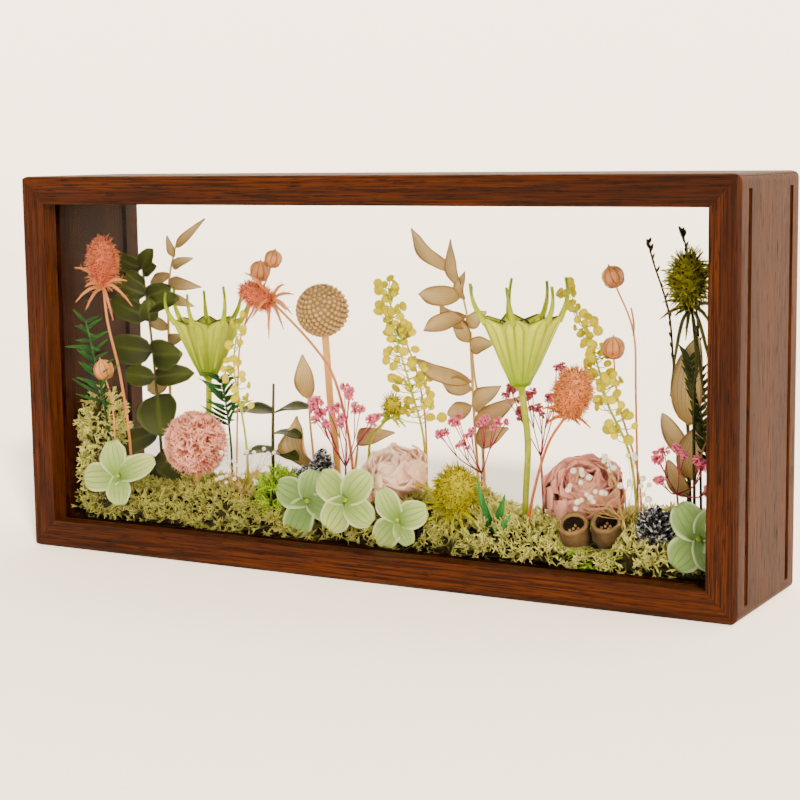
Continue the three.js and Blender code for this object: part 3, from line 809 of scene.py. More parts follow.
def moss_bed(node, start, end, finish, seed):
    """A bed from one x to the other. Strands grow on all of its core but the underside."""
    along, across, strand = 24, 12, 4.6
    edge = MOSS_BASE_Y
    ridge = [edge - 2 * edge * j / across for j in range(across + 1)]
    loops = []
    for x in (start + (end - start) * i / along for i in range(along + 1)):
        loop = []
        for y in ridge:
            fall = strand + 2 * abs(y / edge) ** 4
            loop.append(Vector((x, y, moss_top(x, y) - fall + noise.noise((x / 5, y / 5, 3)))))
        loops.append([*loop, Vector((x, -edge, ROOM_Z)), Vector((x, edge, ROOM_Z))])
    # A core in painted shade under the strands.
    core = Growth(seed).wear(MOSS_SHADE_CORE)
    core.loops(loops, 0.5)
    surface = Growth(seed)
    wide = len(loops[0])
    open_faces = [
        face for k, face in enumerate(between_rings(wide, along)) if k % wide != len(ridge)
    ]
    points = [p for loop in loops for p in loop]
    surface.skin(points, open_faces, [(0, 0, 0)] * len(points))
    moss(node, core, surface, finish, seed, 0.27)


def moss_clump(node, centre, radii, finish, seed):
    """An egg of moss with its own centre and three radii."""
    # A core in painted shade under the strands.
    core = Growth(seed).wear(MOSS_SHADE_CORE)
    core.ball((0, 0, 0), (1, 1), sides=14, rows=10)
    core.points = [in_egg(centre, radii, p) for p in core.points]
    moss(node, core, core, finish, seed, 0.4)


def build_moss():
    # The left and middle beds wear the moss in painted shade, the right bed and the upright clump
    # the moss in painted light.
    moss_bed("moss_left", -138, -56, MOSS_SHADED, 11)
    moss_bed("moss_middle", -56, 42, MOSS_SHADED, 12)
    moss_bed("moss_right", 42, 138, MOSS_LIT, 13)
    moss_clump("moss_upright", (-132, -6, 38), (3.5, 8, 20), MOSS_LIT, 14)
    moss_clump("moss_green_left", (-44, -9, 25), (5, 4, 7), MOSS_BRIGHT, 15)
    moss_clump("moss_green_right", (90, -14, 14), (7, 2, 2), MOSS_BRIGHT, 16)


# ------------------------------------------------------------------ thistle heads

# Dyed stems dry matte and are paler where they are thin.
STEM_PEACH = grown("peach dyed stem, dry", "#c9763c", "#e39a66", "#8a4626")
STEM_LIME = grown("lime dyed stem, dry", "#8f9e1c", "#c2cc3c", "#5d6a14")
STEM_OLIVE = grown("olive stem, dry", "#3c3c12", "#57561c", "#20200a", 0.7)
STEM_RUST = grown("rust dyed stem, dry", "#a84a1c", "#cf7436", "#6b2c10")
STEM_PALE = grown("bleached stem, dry", "#bd9450", "#dcb97c", "#8f6a34")


def bristle(length, lean):
    """One pointed floret of a thistle head."""
    made = Growth(1)
    path = [Vector((lean * length * t * t, 0, length * t)) for t in (0, 0.4, 0.8, 1)]
    made.stem(path, 0.31, 3, 0.05)
    return made


BRISTLES = [bristle(2.9, 0.1), bristle(3.3, 0.4), bristle(2.6, 0.8), bristle(3.9, -0.3)]


def thistle(node, skin, stem_skin, stem, head, radii, bracts, axis=(0, 0, 1), dense=1.5,
            seed=1, long=1.0, rays=3, ray=9):
    """An eryngium: an egg of pointed florets over a ruff of long narrow spiny bracts. The
    bracts run to the points given, and a few short rays stand between them."""
    made = Growth(seed).wear(stem_skin)
    made.stem(smooth(stem), 0.6, 7, 0.5)
    made.wear(skin)
    core, roots = 2.1, 2.4  # how deep these lie under the outer points
    made.ball(head, [r - core for r in radii], axis, 14, 10)
    surface = Growth(seed)
    surface.ball(head, [r - roots for r in radii], axis, 14, 10)
    made.absorb(strew(surface, BRISTLES, skin, seed, dense, apart=0.65 / dense**0.5,
                      smallest=0.75 * long, largest=1.15 * long, lean=0.5))
    neck = Vector(stem[-1])
    made.wear(stem_skin)
    for tip in bracts:
        spiny_bract(made, neck, Vector(tip))
    turn = upright(axis)
    for k in range(rays):
        angle = TURN * (k + made.random.uniform(-0.2, 0.2)) / rays
        out = turn @ Vector((math.cos(angle), math.sin(angle), made.random.uniform(-0.5, 0.25)))
        spiny_bract(made, neck, neck + out * ray * made.random.uniform(0.7, 1.1))
    piece(node, made.mesh(node))


def spiny_bract(made, base, tip):
    """A long narrow bract that arches and droops, with a few side spines."""
    run = tip - base
    way = run.normalized()
    arch = Vector((0, -0.06, 0.14 + made.random.uniform(0, 0.1))) * run.length
    path = smooth(
        [base, base.lerp(tip, 0.35) + arch * 0.9, base.lerp(tip, 0.7) + arch * 0.7, tip], 4
    )
    made.ribbon(path, 1.25)
    for i, sign in ((4, 1), (6, -1), (8, 1), (9, -1)):
        side = way.cross(Vector((made.random.uniform(-0.5, 0.5), -1, 0.1))).normalized()
        spine = path[i] + way * 1.5 + side * sign * made.random.uniform(1, 1.9)
        made.stem([path[i], spine], 0.17, 3, 0.04)


def build_thistles():
    # A dyed head is pale at the points of its florets. The dark foot of each floret, deep between
    # the florets, is partly the dye's deep tone and partly painted shade.
    pink = grown("thistle head, dyed salmon pink", "#8c1a04", "#ff9a6c", "#d24416", 0.7,
                 spread=0.25)
    yellow = grown("thistle head, dyed yellow green", "#3c3a00", "#e6da00", "#7a7400", 0.7,
                   spread=0.3)
    orange = grown("thistle head, dyed orange", "#b03c00", "#ffbc78", "#e8702a", 0.7,
                   spread=0.25)
    olive = grown("thistle head, dyed dark olive", "#3c3c00", "#a8a414", "#55550a", 0.7,
                  spread=0.3)
    gold = grown("thistle bracts, dyed gold", "#8a8200", "#cccc00", "#6d6800")
    thistle(
        "eryngium_pink_left", pink, STEM_PEACH,
        [(-116, -8, ROOM_Z), (-117, -8, 42), (-120, -9, 69), (-123, -12, 90), (-124, -13, 105)],
        (-124, -13, 115), (7, 11.2),
        [(-136, -16, 113), (-136, -16, 99), (-131, -16, 96), (-118, -15, 92), (-109, -14, 98),
         (-112, -13, 108)],
        dense=3.2, seed=21, long=0.85,
    )
    thistle(
        "eryngium_pink_middle", pink, STEM_PEACH,
        [(-16, 3, ROOM_Z), (-18, 2, 45), (-22, -2, 71), (-31, -4, 85), (-49, -4, 101)],
        (-55.5, -4, 102.8), (6.1, 9.6),
        [(-38, -5, 104), (-39, -5, 96), (-43, -5, 90), (-50, -5, 86), (-58, -5, 94),
         (-60, -6, 112)],
        (-0.9, 0, 0.45), dense=3.4, seed=22, long=0.75,
    )
    thistle(
        "eryngium_yellow_small", yellow, STEM_LIME,
        [(-11, 4, ROOM_Z), (-10, 3, 45), (-4, 2, 54), (0, 2, 57)],
        (1, 2, 62), (5.2, 5.8), [(8, 0, 54), (-9, 0, 56), (-5, 1, 51)], (0.2, 0, 1), seed=23,
        long=0.85, ray=7,
    )
    thistle(
        "eryngium_yellow_large", yellow, gold,
        [(30, -6, ROOM_Z), (33, -8, 24)],
        (34, -8.5, 33), (9.6, 10.4),
        [(19, -15, 36), (19, -15, 28), (20, -16, 24), (22, -16, 20), (26, -17, 16), (31, -18, 15),
         (47, -15, 22), (42, -16, 17)],
        (0.1, -0.25, 1), seed=24, rays=5, ray=13,
    )
    thistle(
        "eryngium_orange", orange, STEM_RUST,
        [(61, -8, ROOM_Z), (64, -7, 32), (70, -7, 52), (77, -7, 63)],
        (80, -7, 72), (7.9, 10.8), [(69, -9, 66), (88, -9, 60), (70, -8, 60)], (0.25, 0, 1),
        dense=3.2, seed=25, long=0.8,
    )
    thistle(
        "eryngium_olive", olive, STEM_OLIVE,
        [(124, 0, ROOM_Z), (123, 0, 71), (124, 0, 83), (122, 0, 103)],
        (121, 0, 113), (7.4, 10.4),
        [(111, -2, 99), (131, -2, 96), (133, -2, 104), (112, -2, 105), (121, -3, 92),
         (115, -2, 72), (132, -2, 74), (129, -2, 64)],
        seed=26, long=1.35,
    )


# ------------------------------------------------------------------ flax and other round pods


# A flax pod dries hard and shiny, with fine veins from foot to tip.
FLAX_POD = grown("flax pod, dry and shiny", "#b05a1c", "#f2b06c", "#8a4416", 0.3,
                 veins=20, vein="#7a3610", spread=0.45, gloss=0.55)
FLAX_SEPAL = grown("flax sepal, dry", "#8f5526", "#c98a50", "#5f3616")


def lobed(angle, _):
    """Five swollen lobes with a narrow seam between each two."""
    between = abs(math.sin(2.5 * angle))
    return 0.9 if between < 0.15 else 0.98 + 0.06 * between


def flax(node, stems, pods, seed):
    """Flax: shiny round pods of five joined lobes with a small point, on thread-thin stems."""
    made = Growth(seed).wear(STEM_PEACH)
    for path in stems:
        made.stem(smooth(path), 0.42, 6, 0.34)
    for centre, radius, axis in pods:
        made.wear(FLAX_POD)
        turn = upright(axis)
        profile = [
            (radius * max(0.03, math.sin(a) ** 0.9), -radius * 0.95 * math.cos(a))
            for a in (math.pi * i / 12 for i in range(12))
        ]
        profile += [(radius * 0.1, radius * 1.02), (radius * 0.02, radius * 1.28)]
        made.turned(profile, centre, axis, 40, lobed)
        made.wear(FLAX_SEPAL)
        for k in range(5):
            angle = TURN * k / 5
            out = Vector((math.cos(angle), math.sin(angle), 0))
            foot = Vector(centre) + turn @ Vector((0, 0, -radius * 1.02))
            tip = Vector(centre) + turn @ (out * radius * 0.98 + Vector((0, 0, -radius * 0.35)))
            facing = turn @ (out - Vector((0, 0, 0.8)))
            made.leaf(foot, tip, radius * 0.62, facing, ovate, 0.2, -0.1, thick=0.25, rows=5,
                      cols=3)
    piece(node, made.mesh(node))


def build_flax():
    flax("flax_left", [[(-121, -9, ROOM_Z), (-121, -12, 36), (-119, -16, 58), (-122, -16, 68)]],
         [((-123, -16, 72), 4.1, (-0.2, -0.2, 1))], 31)
    flax(
        "flax_pair",
        [[(-74, 6.4, ROOM_Z), (-74, 6, 33), (-71, 5, 78), (-68, 5, 90), (-61, 5, 108)],
         [(-68, 5, 90), (-60, 4, 101), (-54, 4, 114)]],
        [((-60, 5, 112), 4.1, (0.3, -0.3, 1)), ((-53, 4, 117), 3.5, (0.3, 0, 1))], 32,
    )
    flax("flax_middle", [[(9, 14, ROOM_Z), (9, 14, 51), (6, 14, 71), (0, 14, 87)]],
         [((0, 14, 90), 3.5, (-0.3, -0.2, 1))], 33)
    flax(
        "flax_right_tall",
        [[(100, 7, ROOM_Z), (99, 6, 69), (98, 6, 93), (91, 6, 110)],
         [(98, 6, 92), (98, 6, 97), (97, 6, 102)]],
        [((90, 6, 113), 4, (-0.3, -0.3, 1))], 34,
    )
    flax("flax_right_low", [[(103, 2, ROOM_Z), (102, 2, 41), (94, 2, 68), (92, 2, 85)]],
         [((92, 2, 88), 4, (0.1, -0.3, 1))], 35)


def build_ball_pod():
    """A tan ball of small knobs in spiral rows, on a thick pale stem."""
    knob = grown("knobbed seed ball, dry", "#5f3f1c", "#d8b47a", "#4f3416", 0.75, spread=0.35)
    straw = grown("thick dry stem, straw coloured", "#c98a3c", "#e6b46c", "#9a6426", 0.55)
    centre, radius, knobs = Vector((-32, 6, 97)), 9.7, 330
    made = Growth(36).wear(straw)
    made.stem(smooth([(-26, 7, ROOM_Z), (-27, 6, 43), (-29, 6, 60), (-30, 6, 74), (-31, 6, 88)]),
              1.35, 9, 1.5)
    made.wear(knob)
    made.ball(centre, (radius, radius), sides=20, rows=14)
    tilt = upright((0.3, -0.55, 0.8))
    for out in spiral(knobs):
        out = tilt @ out
        made.turned([(1.04, 0), (0.95, 0.65), (0.4, 1.2)], centre + out * (radius - 0.4), out, 6)
    piece("ball_pod", made.mesh("ball"))


# ------------------------------------------------------------------ leaves


def leafy(node, slot, stems, radius, bark, leaves, skin, seed, **shape):
    """Leaves on their stems. Each is its base, tip and width, and the way it faces if that
    isn't left to chance."""
    made = Growth(seed).wear(bark)
    for path in stems:
        made.stem(smooth(path), radius, 6, radius * 0.6)
    made.wear(skin)
    for base, tip, width, *facing in leaves:
        turned = facing[0] if facing else (
            made.random.uniform(-0.3, 0.6), -1, made.random.uniform(-0.2, 0.5)
        )
        made.leaf(base, tip, width, turned, **shape)
    piece(node, made.mesh(node))


# Preserved eucalyptus stays supple and a little waxy, with one pale rib.
EUCALYPTUS = grown("eucalyptus leaf, preserved", "#1a2200", "#3a460a", "#0f1500", 0.5,
                   veins=2, vein="#434d12", spread=0.4)


def build_eucalyptus():
    up = (0, -0.25, 1)
    leafy(
        "eucalyptus_left", "olive_leaf",
        [[(-110, 6, ROOM_Z), (-111, 4, 52), (-113, 4, 79), (-117, 4, 113)]], 0.8, STEM_OLIVE,
        [((-117, 4, 112), (-129, 2, 117), 8), ((-117, 4, 112), (-109, 1, 120), 7),
         ((-116, 4, 110), (-109, 3, 113), 6), ((-116, 4, 105), (-123, 1, 110), 8),
         ((-115.5, 4, 101), (-130, 2, 106), 9), ((-115, 4, 100), (-102, 3, 105), 9),
         ((-115, 4, 96), (-98, 3, 100), 9), ((-114, 4, 92), (-132, 2, 99), 10),
         ((-114, 4, 90), (-112, 1, 100), 8), ((-113, 4, 78), (-131, 0, 80), 13),
         ((-113, 4, 77), (-95, 0, 78), 13), ((-112, 4, 67), (-126, 2, 68), 9),
         ((-112, 4, 67), (-91, 2, 70), 9), ((-111, 4, 60), (-104, -3, 44), 17),
         ((-111, 4, 45), (-132, -2, 36), 10), ((-111, 4, 36), (-98, 2, 26), 12),
         ((-110.5, 6, 32), (-122, 2, 24), 11)],
        EUCALYPTUS, 41, outline=rounded, bow=0.1, cup=0.3, wave=0.12, rows=10, cols=8,
    )
    leafy(
        "eucalyptus_right", "olive_leaf",
        [[(-61, 13, ROOM_Z), (-61, 13, 40), (-60, 13, 66)]], 0.9, STEM_OLIVE,
        [((-60, 13, 54), (-80, 12, 53), 10, up), ((-60, 13, 54), (-42, 12, 57), 9, up),
         ((-61, 13, 38), (-75, 13, 36), 9, up), ((-61, 13, 38), (-47, 10, 36), 8, up),
         ((-60, 13, 46), (-45, 10, 45), 7, up)],
        EUCALYPTUS, 42, outline=rounded, bow=0.06, cup=0.25, wave=0.1, rows=10, cols=8,
    )


def build_ruscus():
    # Bleached leaves are thin and straw coloured, with darker veins and a brown dry rim.
    bleached = grown("ruscus leaf, bleached", "#a98a52", "#e2cd98", "#8f7440", 0.5,
                     veins=9, vein="#9a7c48", rim="#86602e", spread=0.4)
    dry = {"outline": pointed, "bow": 0.14, "cup": 0.6, "wave": 0.35, "rows": 12, "cols": 8}
    leafy(
        "ruscus_left", "bleached_leaf",
        [[(-112, 14, ROOM_Z), (-112, 14, 86), (-111, 14, 106), (-107, 14, 121)]], 0.7, STEM_PALE,
        [((-107, 14, 120), (-92, 14, 132), 3.6), ((-108, 14, 116), (-110, 12, 125), 3.2),
         ((-109, 14, 112), (-97, 12, 116), 4.5), ((-110, 14, 109), (-120, 13, 105), 4.5),
         ((-111, 14, 106), (-94, 13, 104), 5.5), ((-112, 14, 99), (-98, 13, 96), 5),
         ((-112, 14, 86), (-121, 13, 92), 5.5), ((-112, 14, 80), (-102, 13, 84), 5),
         ((-112, 14, 66), (-123, 13, 60), 8)],
        bleached, 43, **dry,
    )
    leafy(
        "ruscus_middle", "bleached_leaf",
        [[(-32, 16, ROOM_Z), (-42, 17, 26), (-45, 17, 45), (-46, 17, 61)],
         [(-32, 16, ROOM_Z), (-26, 17, 28), (-23, 17, 45)]], 0.7, STEM_PALE,
        [((-46, 17, 60), (-48, 16, 78), 8), ((-45, 17, 32), (-51, 16, 53), 14),
         ((-24, 17, 45), (-6, 16, 49), 7)],
        bleached, 44, **dry,
    )
    leafy(
        "ruscus_right", "bleached_leaf",
        [[(33, 14, ROOM_Z), (30, 14, 57), (29, 14, 78), (28, 14, 92), (25, 14, 105), (21, 14, 114)],
         [(35, 15, ROOM_Z), (32, 15.2, 57), (29.5, 15, 75), (28.4, 15, 90)]],
        0.6, STEM_PALE,
        [((21.5, 14, 113), (4, 13, 129), 6.5), ((25, 14, 106), (21, 13, 125), 5),
         ((26, 14, 102), (27, 13, 113), 5), ((25.5, 14, 104), (7, 13, 104), 8),
         ((27, 14, 96), (9, 13, 90), 7), ((28, 14, 92), (15, 15, 100), 6),
         ((28, 14, 92), (35, 15, 98), 6), ((28, 14, 86), (22, 15, 96), 6),
         ((28.5, 14, 84), (38, 15, 86), 7), ((29, 14, 71), (5, 13, 79), 7),
         ((29, 14, 68), (17, 13, 70), 7), ((29, 14, 62), (19, 13, 58), 7),
         ((30, 14, 60), (41, 15, 70), 8), ((30.5, 14, 54), (48, 15, 66), 8),
         ((31, 14, 48), (44, 15, 54), 8)],
        bleached, 45, **dry,
    )
    leafy(
        "ruscus_far_right", "bleached_leaf",
        [[(117, 11, ROOM_Z), (117, 12, 45), (116, 12, 70)]], 0.8, STEM_OLIVE,
        [((117, 12, 60), (120, 12, 92), 12), ((117, 12, 48), (107, 11, 64), 7),
         ((117, 12, 40), (125, 12, 62), 11), ((117, 12, 34), (109, 12, 47), 7)],
        bleached, 46, **(dry | {"outline": ovate, "wave": 0.12}),
    )


def fern(node, path, reach, rise, skin, seed):
    """A sprig of flat dark needles in two ranks, shorter towards the top."""
    made = Growth(seed).wear(skin)
    path = smooth(path, 9)
    made.stem(path, 0.6, 5, 0.3)
    chance = made.random
    start = len(path) // 2
    for i in range(start, len(path)):
        taper = 1.15 - 0.5 * (i - start) / (len(path) - start)
        for side in (-1, 1):
            length = reach * chance.uniform(0.55, 1.1) * taper
            out = Vector((side, chance.uniform(-0.9, 0.3), rise + chance.uniform(-0.5, 0.6)))
            tip = path[i] + out.normalized() * length
            tip.x = max(tip.x, 1 - ROOM_X)
            made.leaf(path[i], tip, 1.3, FRONT, needle, 0.1, 0.3, thick=0.25, rows=6, cols=2)
    piece(node, made.mesh(node))


def build_needles_and_blades():
    green = grown("fine fern needles, dyed green", "#04260a", "#206a12", "#031a06", 0.4)
    fern("needles_left", [(-120, -8, ROOM_Z), (-124, -12, 45), (-127, -14, 68), (-131, -16, 91)],
         13.5, 0.4, green, 47)
    fern("needles_middle", [(-75, 3.2, ROOM_Z), (-74.5, 3.2, 38), (-76, 2.6, 57), (-78, 2, 69)],
         13, 0.62, green, 48)

    made = Growth(49).wear(STEM_OLIVE)
    path = smooth([(128, 7, ROOM_Z), (126, 7, 45), (123, 7, 66), (119, 7, 84)], 8)
    made.stem(path, 0.7, 6, 0.4)
    made.wear(EUCALYPTUS)
    for foot in path[9:]:
        for side in (-1, 1):
            out = Vector((side * 5, made.random.uniform(-3, 1), 6)) * made.random.uniform(0.6, 1)
            tip = foot + out
            tip.x = min(tip.x, ROOM_X - 1)
            made.leaf(foot, tip, 1.7, FRONT, lance, 0.1, 0.3, rows=6, cols=3)
    piece("needles_right", made.mesh("leaves"))

    blade = grown("low grass blade, preserved", "#0f5a22", "#3a9440", "#0a3a14", 0.45)
    leafy(
        "blades_low", "green_blade", [[(50, -9, ROOM_Z), (50, -9, 26)]], 0.6, STEM_OLIVE,
        [((50, -9, 20), (44, -12, 40), 2.6), ((50, -9, 22), (55, -11, 34), 2.6),
         ((50, -9, 18), (47, -13, 34), 2.2), ((50, -9, 16), (58, -12, 27), 2.4)],
        blade, 50, outline=lance, cup=0.4,
    )


def build_twigs():
    """Thin dark twigs with small shut buds up their sides, larger near the top."""
    bark = grown("dark twig, dry", "#1c140b", "#3a2f14", "#0d0a05", 0.85)
    for node, path, seed in (
        ("twig_left", [(117, 16, ROOM_Z), (115, 15.5, 58), (111, 13, 78), (109, 12, 100),
                       (103, 12, 118), (101, 12, 125)], 51),
        ("twig_right", [(120, 17.5, ROOM_Z), (119, 17, 69), (118, 16, 100), (114, 16, 122),
                        (112, 16, 129)], 52),
    ):
        made = Growth(seed).wear(bark)
        path = smooth(path, 12)
        made.stem(path, 0.5, 6, 0.32)
        for i in range(14, len(path) - 1):
            near_top = len(path) - i < 9
            if near_top or i % 2:
                side = made.random.choice((-1, 1))
                tip = path[i] + Vector((side * 0.9, made.random.uniform(-1, 1), 2.4))
                made.leaf(path[i], tip, 1.2 if near_top else 0.8, FRONT, ovate, 0.1, 0.2,
                          thick=0.4, rows=4, cols=2)
        piece(node, made.mesh(node))


# ------------------------------------------------------------------ nigella pods


def nigella(node, stem, base, radius, height, horns, tints, seed):
    """Love-in-a-mist: seven swollen pods joined at the foot in a flared cup, each running out
    into a long horn. The papery skin is pale green, with darker veins. The near-black edges
    of each pod are painted shade in the grooves where the pods meet."""
    # The near-black rim colour is painted shade where the pods meet in grooves.
    skin = grown(f"nigella pod, dyed cream green, {seed}", *tints, 0.45,
                 veins=4, vein="#7d9600", rim="#233600", spread=0.35)
    rib = grown(f"nigella horn, dyed lime, {seed}", "#b8cc10", "#5f7806", "#7a8c08", 0.45)
    made = Growth(seed).wear(STEM_LIME)
    made.stem(smooth(stem), 1.1, 9, 1.3)
    base = Vector(base)
    made.turned([(1.2, -2), (2.8, 0), (3.9, 3), (3.6, 6)], base, sides=14)
    count, rows, cols = len(horns), 12, 10
    waist, shoulder = 3.4, 0.84  # the cup's foot, and how far up a pod starts to narrow
    for k, horn in enumerate(horns):
        angle = TURN * (k + 0.5) / count + seed
        out = Vector((math.cos(angle), math.sin(angle), 0))
        side = Vector((-out.y, out.x, 0))
        up = Vector((0, 0, 1))
        grid = []
        for i in range(rows + 1):
            t = i / rows
            reach = waist + (radius - waist) * t
            half = 0.6 + (reach + 0.4) * math.tan(math.pi / count) * 0.95
            if t > shoulder:
                half *= 1 - 0.8 * ((t - shoulder) / (1 - shoulder)) ** 1.7
            line = []
            for j in range(cols + 1):
                s = 2 * j / cols - 1
                fold = reach - abs(s) ** 2.8 * half * 1.1
                line.append(base + out * fold + side * half * s * 0.93 + up * height * t)
            grid.append(line)
        made.wear(skin)
        made.sheet(grid, 0.55)
        made.wear(rib)
        foot = base + out * (radius - 0.3) + up * (height * 0.96)
        lean = out * made.random.uniform(0.1, 0.35) + side * made.random.uniform(-0.25, 0.25) + up
        path = [base + out * 3.8 + up * 2]
        path += [base + out * (3.5 + (radius - 3.5) * t) + up * height * t
                 for t in (0.25, 0.5, 0.75, 0.93)]
        path += [foot + lean * horn * t + out * 1.6 * math.sin(3 * t) for t in (0.35, 0.7, 1)]
        made.stem(smooth(path, 4), 0.62, 6, 0.6)
        made.stem(smooth(path[4:], 5), 1.25, 6, 0.25)
    piece(node, made.mesh(node))


def build_nigella():
    # The left pod's tints are a darker copy of the right pod's: painted shade, as it stands in the
    # shade of the top board.
    nigella("nigella_left", [(-90, 9, ROOM_Z), (-90, 9, 42), (-87, 6, 57), (-86, 5, 68)],
            (-86, 5, 69), 14, 23, (12, 15, 15, 12, 11, 13, 12),
            ("#5f7a00", "#c2cc3a", "#586c04"), 61)
    nigella("nigella_right", [(59, -1, ROOM_Z), (59, -2, 30), (60, -2, 52), (57.5, -2, 72)],
            (57, -2, 73), 15, 25, (13, 15, 13, 14, 12, 14, 13),
            ("#7ea200", "#eaf046", "#789000"), 62)


# ------------------------------------------------------------------ ruffles, buds and discs


def ruffle(made, centre, radius, petals, width, rows, cols, inner, wave=0.5):
    """Small crumpled petals that stand out all round a centre."""
    chance = made.random
    for out in spiral(petals):
        out = (out + astray(chance, 0.3)).normalized()
        tip = Vector(centre) + out * radius * chance.uniform(0.86, 1.04)
        face = out.cross(astray(chance, 1))
        made.leaf(Vector(centre) + out * radius * inner, tip, width, face, fan, 0.15, 0.5, wave,
                  0.18, rows, cols)


def fan(t):
    return 0.25 + 0.75 * t**0.7


def build_pompon():
    """A ball of ruffled papery petals, deep coral inside, with a fringe at their edges."""
    skin = grown("pompon petals, dyed coral pink", "#cc3320", "#ffc4ac", "#e2705a", 0.75,
                 spread=0.25)
    centre, heart, radius, fringe = Vector((-85, -6.4, 43)), 7, 12.6, 11.2
    made = Growth(63).wear(STEM_PEACH)
    made.stem([(-85, -6, ROOM_Z), (-85, -6.2, 20), (-85, -6.4, 34)], 1, 7)
    made.wear(skin)
    made.ball(centre, (heart, heart))
    ruffle(made, centre, radius, 300, 4.2, 5, 4, 0.5, 0.9)
    for out in spiral(900):
        foot = centre + out * fringe
        made.stem([foot, foot + (out + noise.noise_vector(foot) * 0.7) * 2.2], 0.22, 3, 0.06)
    piece("pompon", made.mesh("pompon"))


def spray(node, skin, stem_skin, foot, fork, heads, radius, seed, petals=16, thin=0.3):
    """Baby's breath: thread stems that fork from one point to small double flowers, or to
    round shut buds where there are no petals."""
    made = Growth(seed).wear(stem_skin)
    foot, fork = Vector(foot), Vector(fork)
    made.stem(smooth([foot, foot.lerp(fork, 0.5), fork]), 0.5, 5, 0.4)
    for head, size in heads:
        head = Vector(head)
        joint = fork.lerp(head, 0.55) + Vector((made.random.uniform(-1.5, 1.5), 0, -2))
        made.wear(stem_skin)
        made.stem(smooth([fork, joint, head]), thin, 4, thin * 0.8)
        r = radius * size
        for _ in range(2):
            side = head + Vector((made.random.uniform(-3.4, 3.4), made.random.uniform(-1, 1.4),
                                  made.random.uniform(-3.2, 2))) * size
            made.wear(stem_skin)
            made.stem([joint, side], thin * 0.8, 4)
            made.wear(skin)
            if petals:
                ruffle(made, side, r * 0.78, petals * 2 // 3, r * 0.75, 2, 2, 0.2)
            else:
                made.ball(side, (r * 0.8, r * 0.75), sides=8, rows=6)
        if petals:
            ruffle(made, head, r, petals, r * 0.8, 3, 2, 0.2)
        else:
            made.ball(head, (r, r * 0.92), sides=10, rows=7)
    piece(node, made.mesh(node))


def build_sprays():
    # Tiny papery flowers: the dye gathers at the foot of each petal.
    pink = grown("baby's breath, dyed pink", "#b3123c", "#ff8fae", "#c9325c", 0.7, spread=0.35)
    mauve = grown("baby's breath, dyed mauve", "#7a1c30", "#d9667c", "#6d1c2c", 0.7, spread=0.4)
    white = grown("baby's breath, bleached white", "#e6dfc4", "#ffffff", "#e9e2cc", spread=0.2)
    wine = grown("wine red thread stem", "#7a1a28", "#b04456", "#4f1018")
    spray("breath_pink_left", pink, wine, (-15, -7, ROOM_Z), (-16, -5, 38),
          [((-31, -5, 62), 1), ((-27, -5, 58), 1.1), ((-21, -5, 60), 1), ((-14, -5, 67), 1.1),
           ((-9, -5, 61), 0.9), ((-5, -4, 57), 1), ((-24, -6, 54), 0.8), ((-17, -5, 57), 0.9)],
          2.3, 64)
    spray("breath_pink_middle", pink, wine, (39, 4, ROOM_Z), (38, 4, 38),
          [((21, 3, 52), 1), ((26, 4, 57), 1), ((34, 4, 54), 0.8), ((39, 4, 58), 1),
           ((45, 4, 58), 0.9), ((30, 4, 49), 0.7)], 2.1, 65)
    spray("breath_mauve", mauve, wine, (63, 7, ROOM_Z), (62, 5, 46),
          [((50, 5, 70), 1), ((56, 6, 68), 1), ((66, 4, 68), 1), ((71, 4, 80), 0.8),
           ((61, 5, 64), 0.9), ((53, 5, 62), 0.8)], 2.1, 66)
    spray("breath_pink_right", pink, wine, (121.5, -4, ROOM_Z), (119, -5, 38),
          [((112, -6, 51), 1.2), ((120, -6, 54), 0.9), ((129, -6, 49), 1.1), ((131, -6, 41), 0.9),
           ((114, -7, 43), 0.8)], 2.2, 67)
    whites_left = [(-69, -12, 41), (-63, -12, 38), (-57, -12, 42), (-50, -12, 37), (-69, -13, 31),
                   (-65, -13, 34), (-54, -12, 36), (-60, -13, 33), (-47, -12, 42), (-52, -13, 30)]
    spray("breath_white_left", white, STEM_PALE, (-60, -12, ROOM_Z), (-60, -12, 25),
          [(head, 1) for head in whites_left], 1.0, 68, 0, 0.14)
    whites_right = [(81, -13, 38), (85, -14, 34), (89, -13, 43), (94, -13, 38), (98, -12, 47),
                    (106, -12, 51), (109, -12, 44), (101, -13, 41), (90, -14, 36), (111, -12, 37),
                    (83, -13, 45), (95, -13, 51)]
    spray("breath_white_right", white, STEM_PALE, (107, -13, ROOM_Z), (102, -13, 29),
          [(head, 1) for head in whites_right], 1.2, 69, 0, 0.14)


SEED_DISC = grown("round seed, dyed yellow", "#a09200", "#e0d200", "#887a00", 0.45, spread=0.2)


def discs(node, path, count, reach, seed, start):
    """Round flat seeds on thin stalks, on a lime stem from this share of its length up."""
    made = Growth(seed).wear(STEM_LIME)
    path = smooth(path, 8)
    made.stem(path, 0.55, 6, 0.3)
    chance = made.random
    for k in range(count):
        t = start + (1 - start) * (k + chance.random()) / count
        foot = path[min(len(path) - 1, int(t * len(path)))]
        side = 1 if k % 2 else -1
        far = reach * chance.uniform(0.1, 0.8) * (1.2 - 0.75 * t)
        spot = foot + Vector((side * far, chance.uniform(-1.6, 1.6), chance.uniform(-1, 5)))
        face = Vector((chance.uniform(-1, 1.2), -1, chance.uniform(-0.9, 0.9))).normalized()
        size = chance.uniform(1.3, 2.15)
        made.wear(STEM_LIME)
        made.stem([foot, foot.lerp(spot, 0.6) + Vector((0, 0, -0.8)), spot], 0.2, 4)
        made.wear(SEED_DISC)
        made.turned([(size * 0.5, -0.3), (size * 0.95, -0.24), (size, 0), (size * 0.92, 0.22),
                     (size * 0.8, 0.14), (size * 0.3, 0.26)], spot, face, 12)
    piece(node, made.mesh(node))


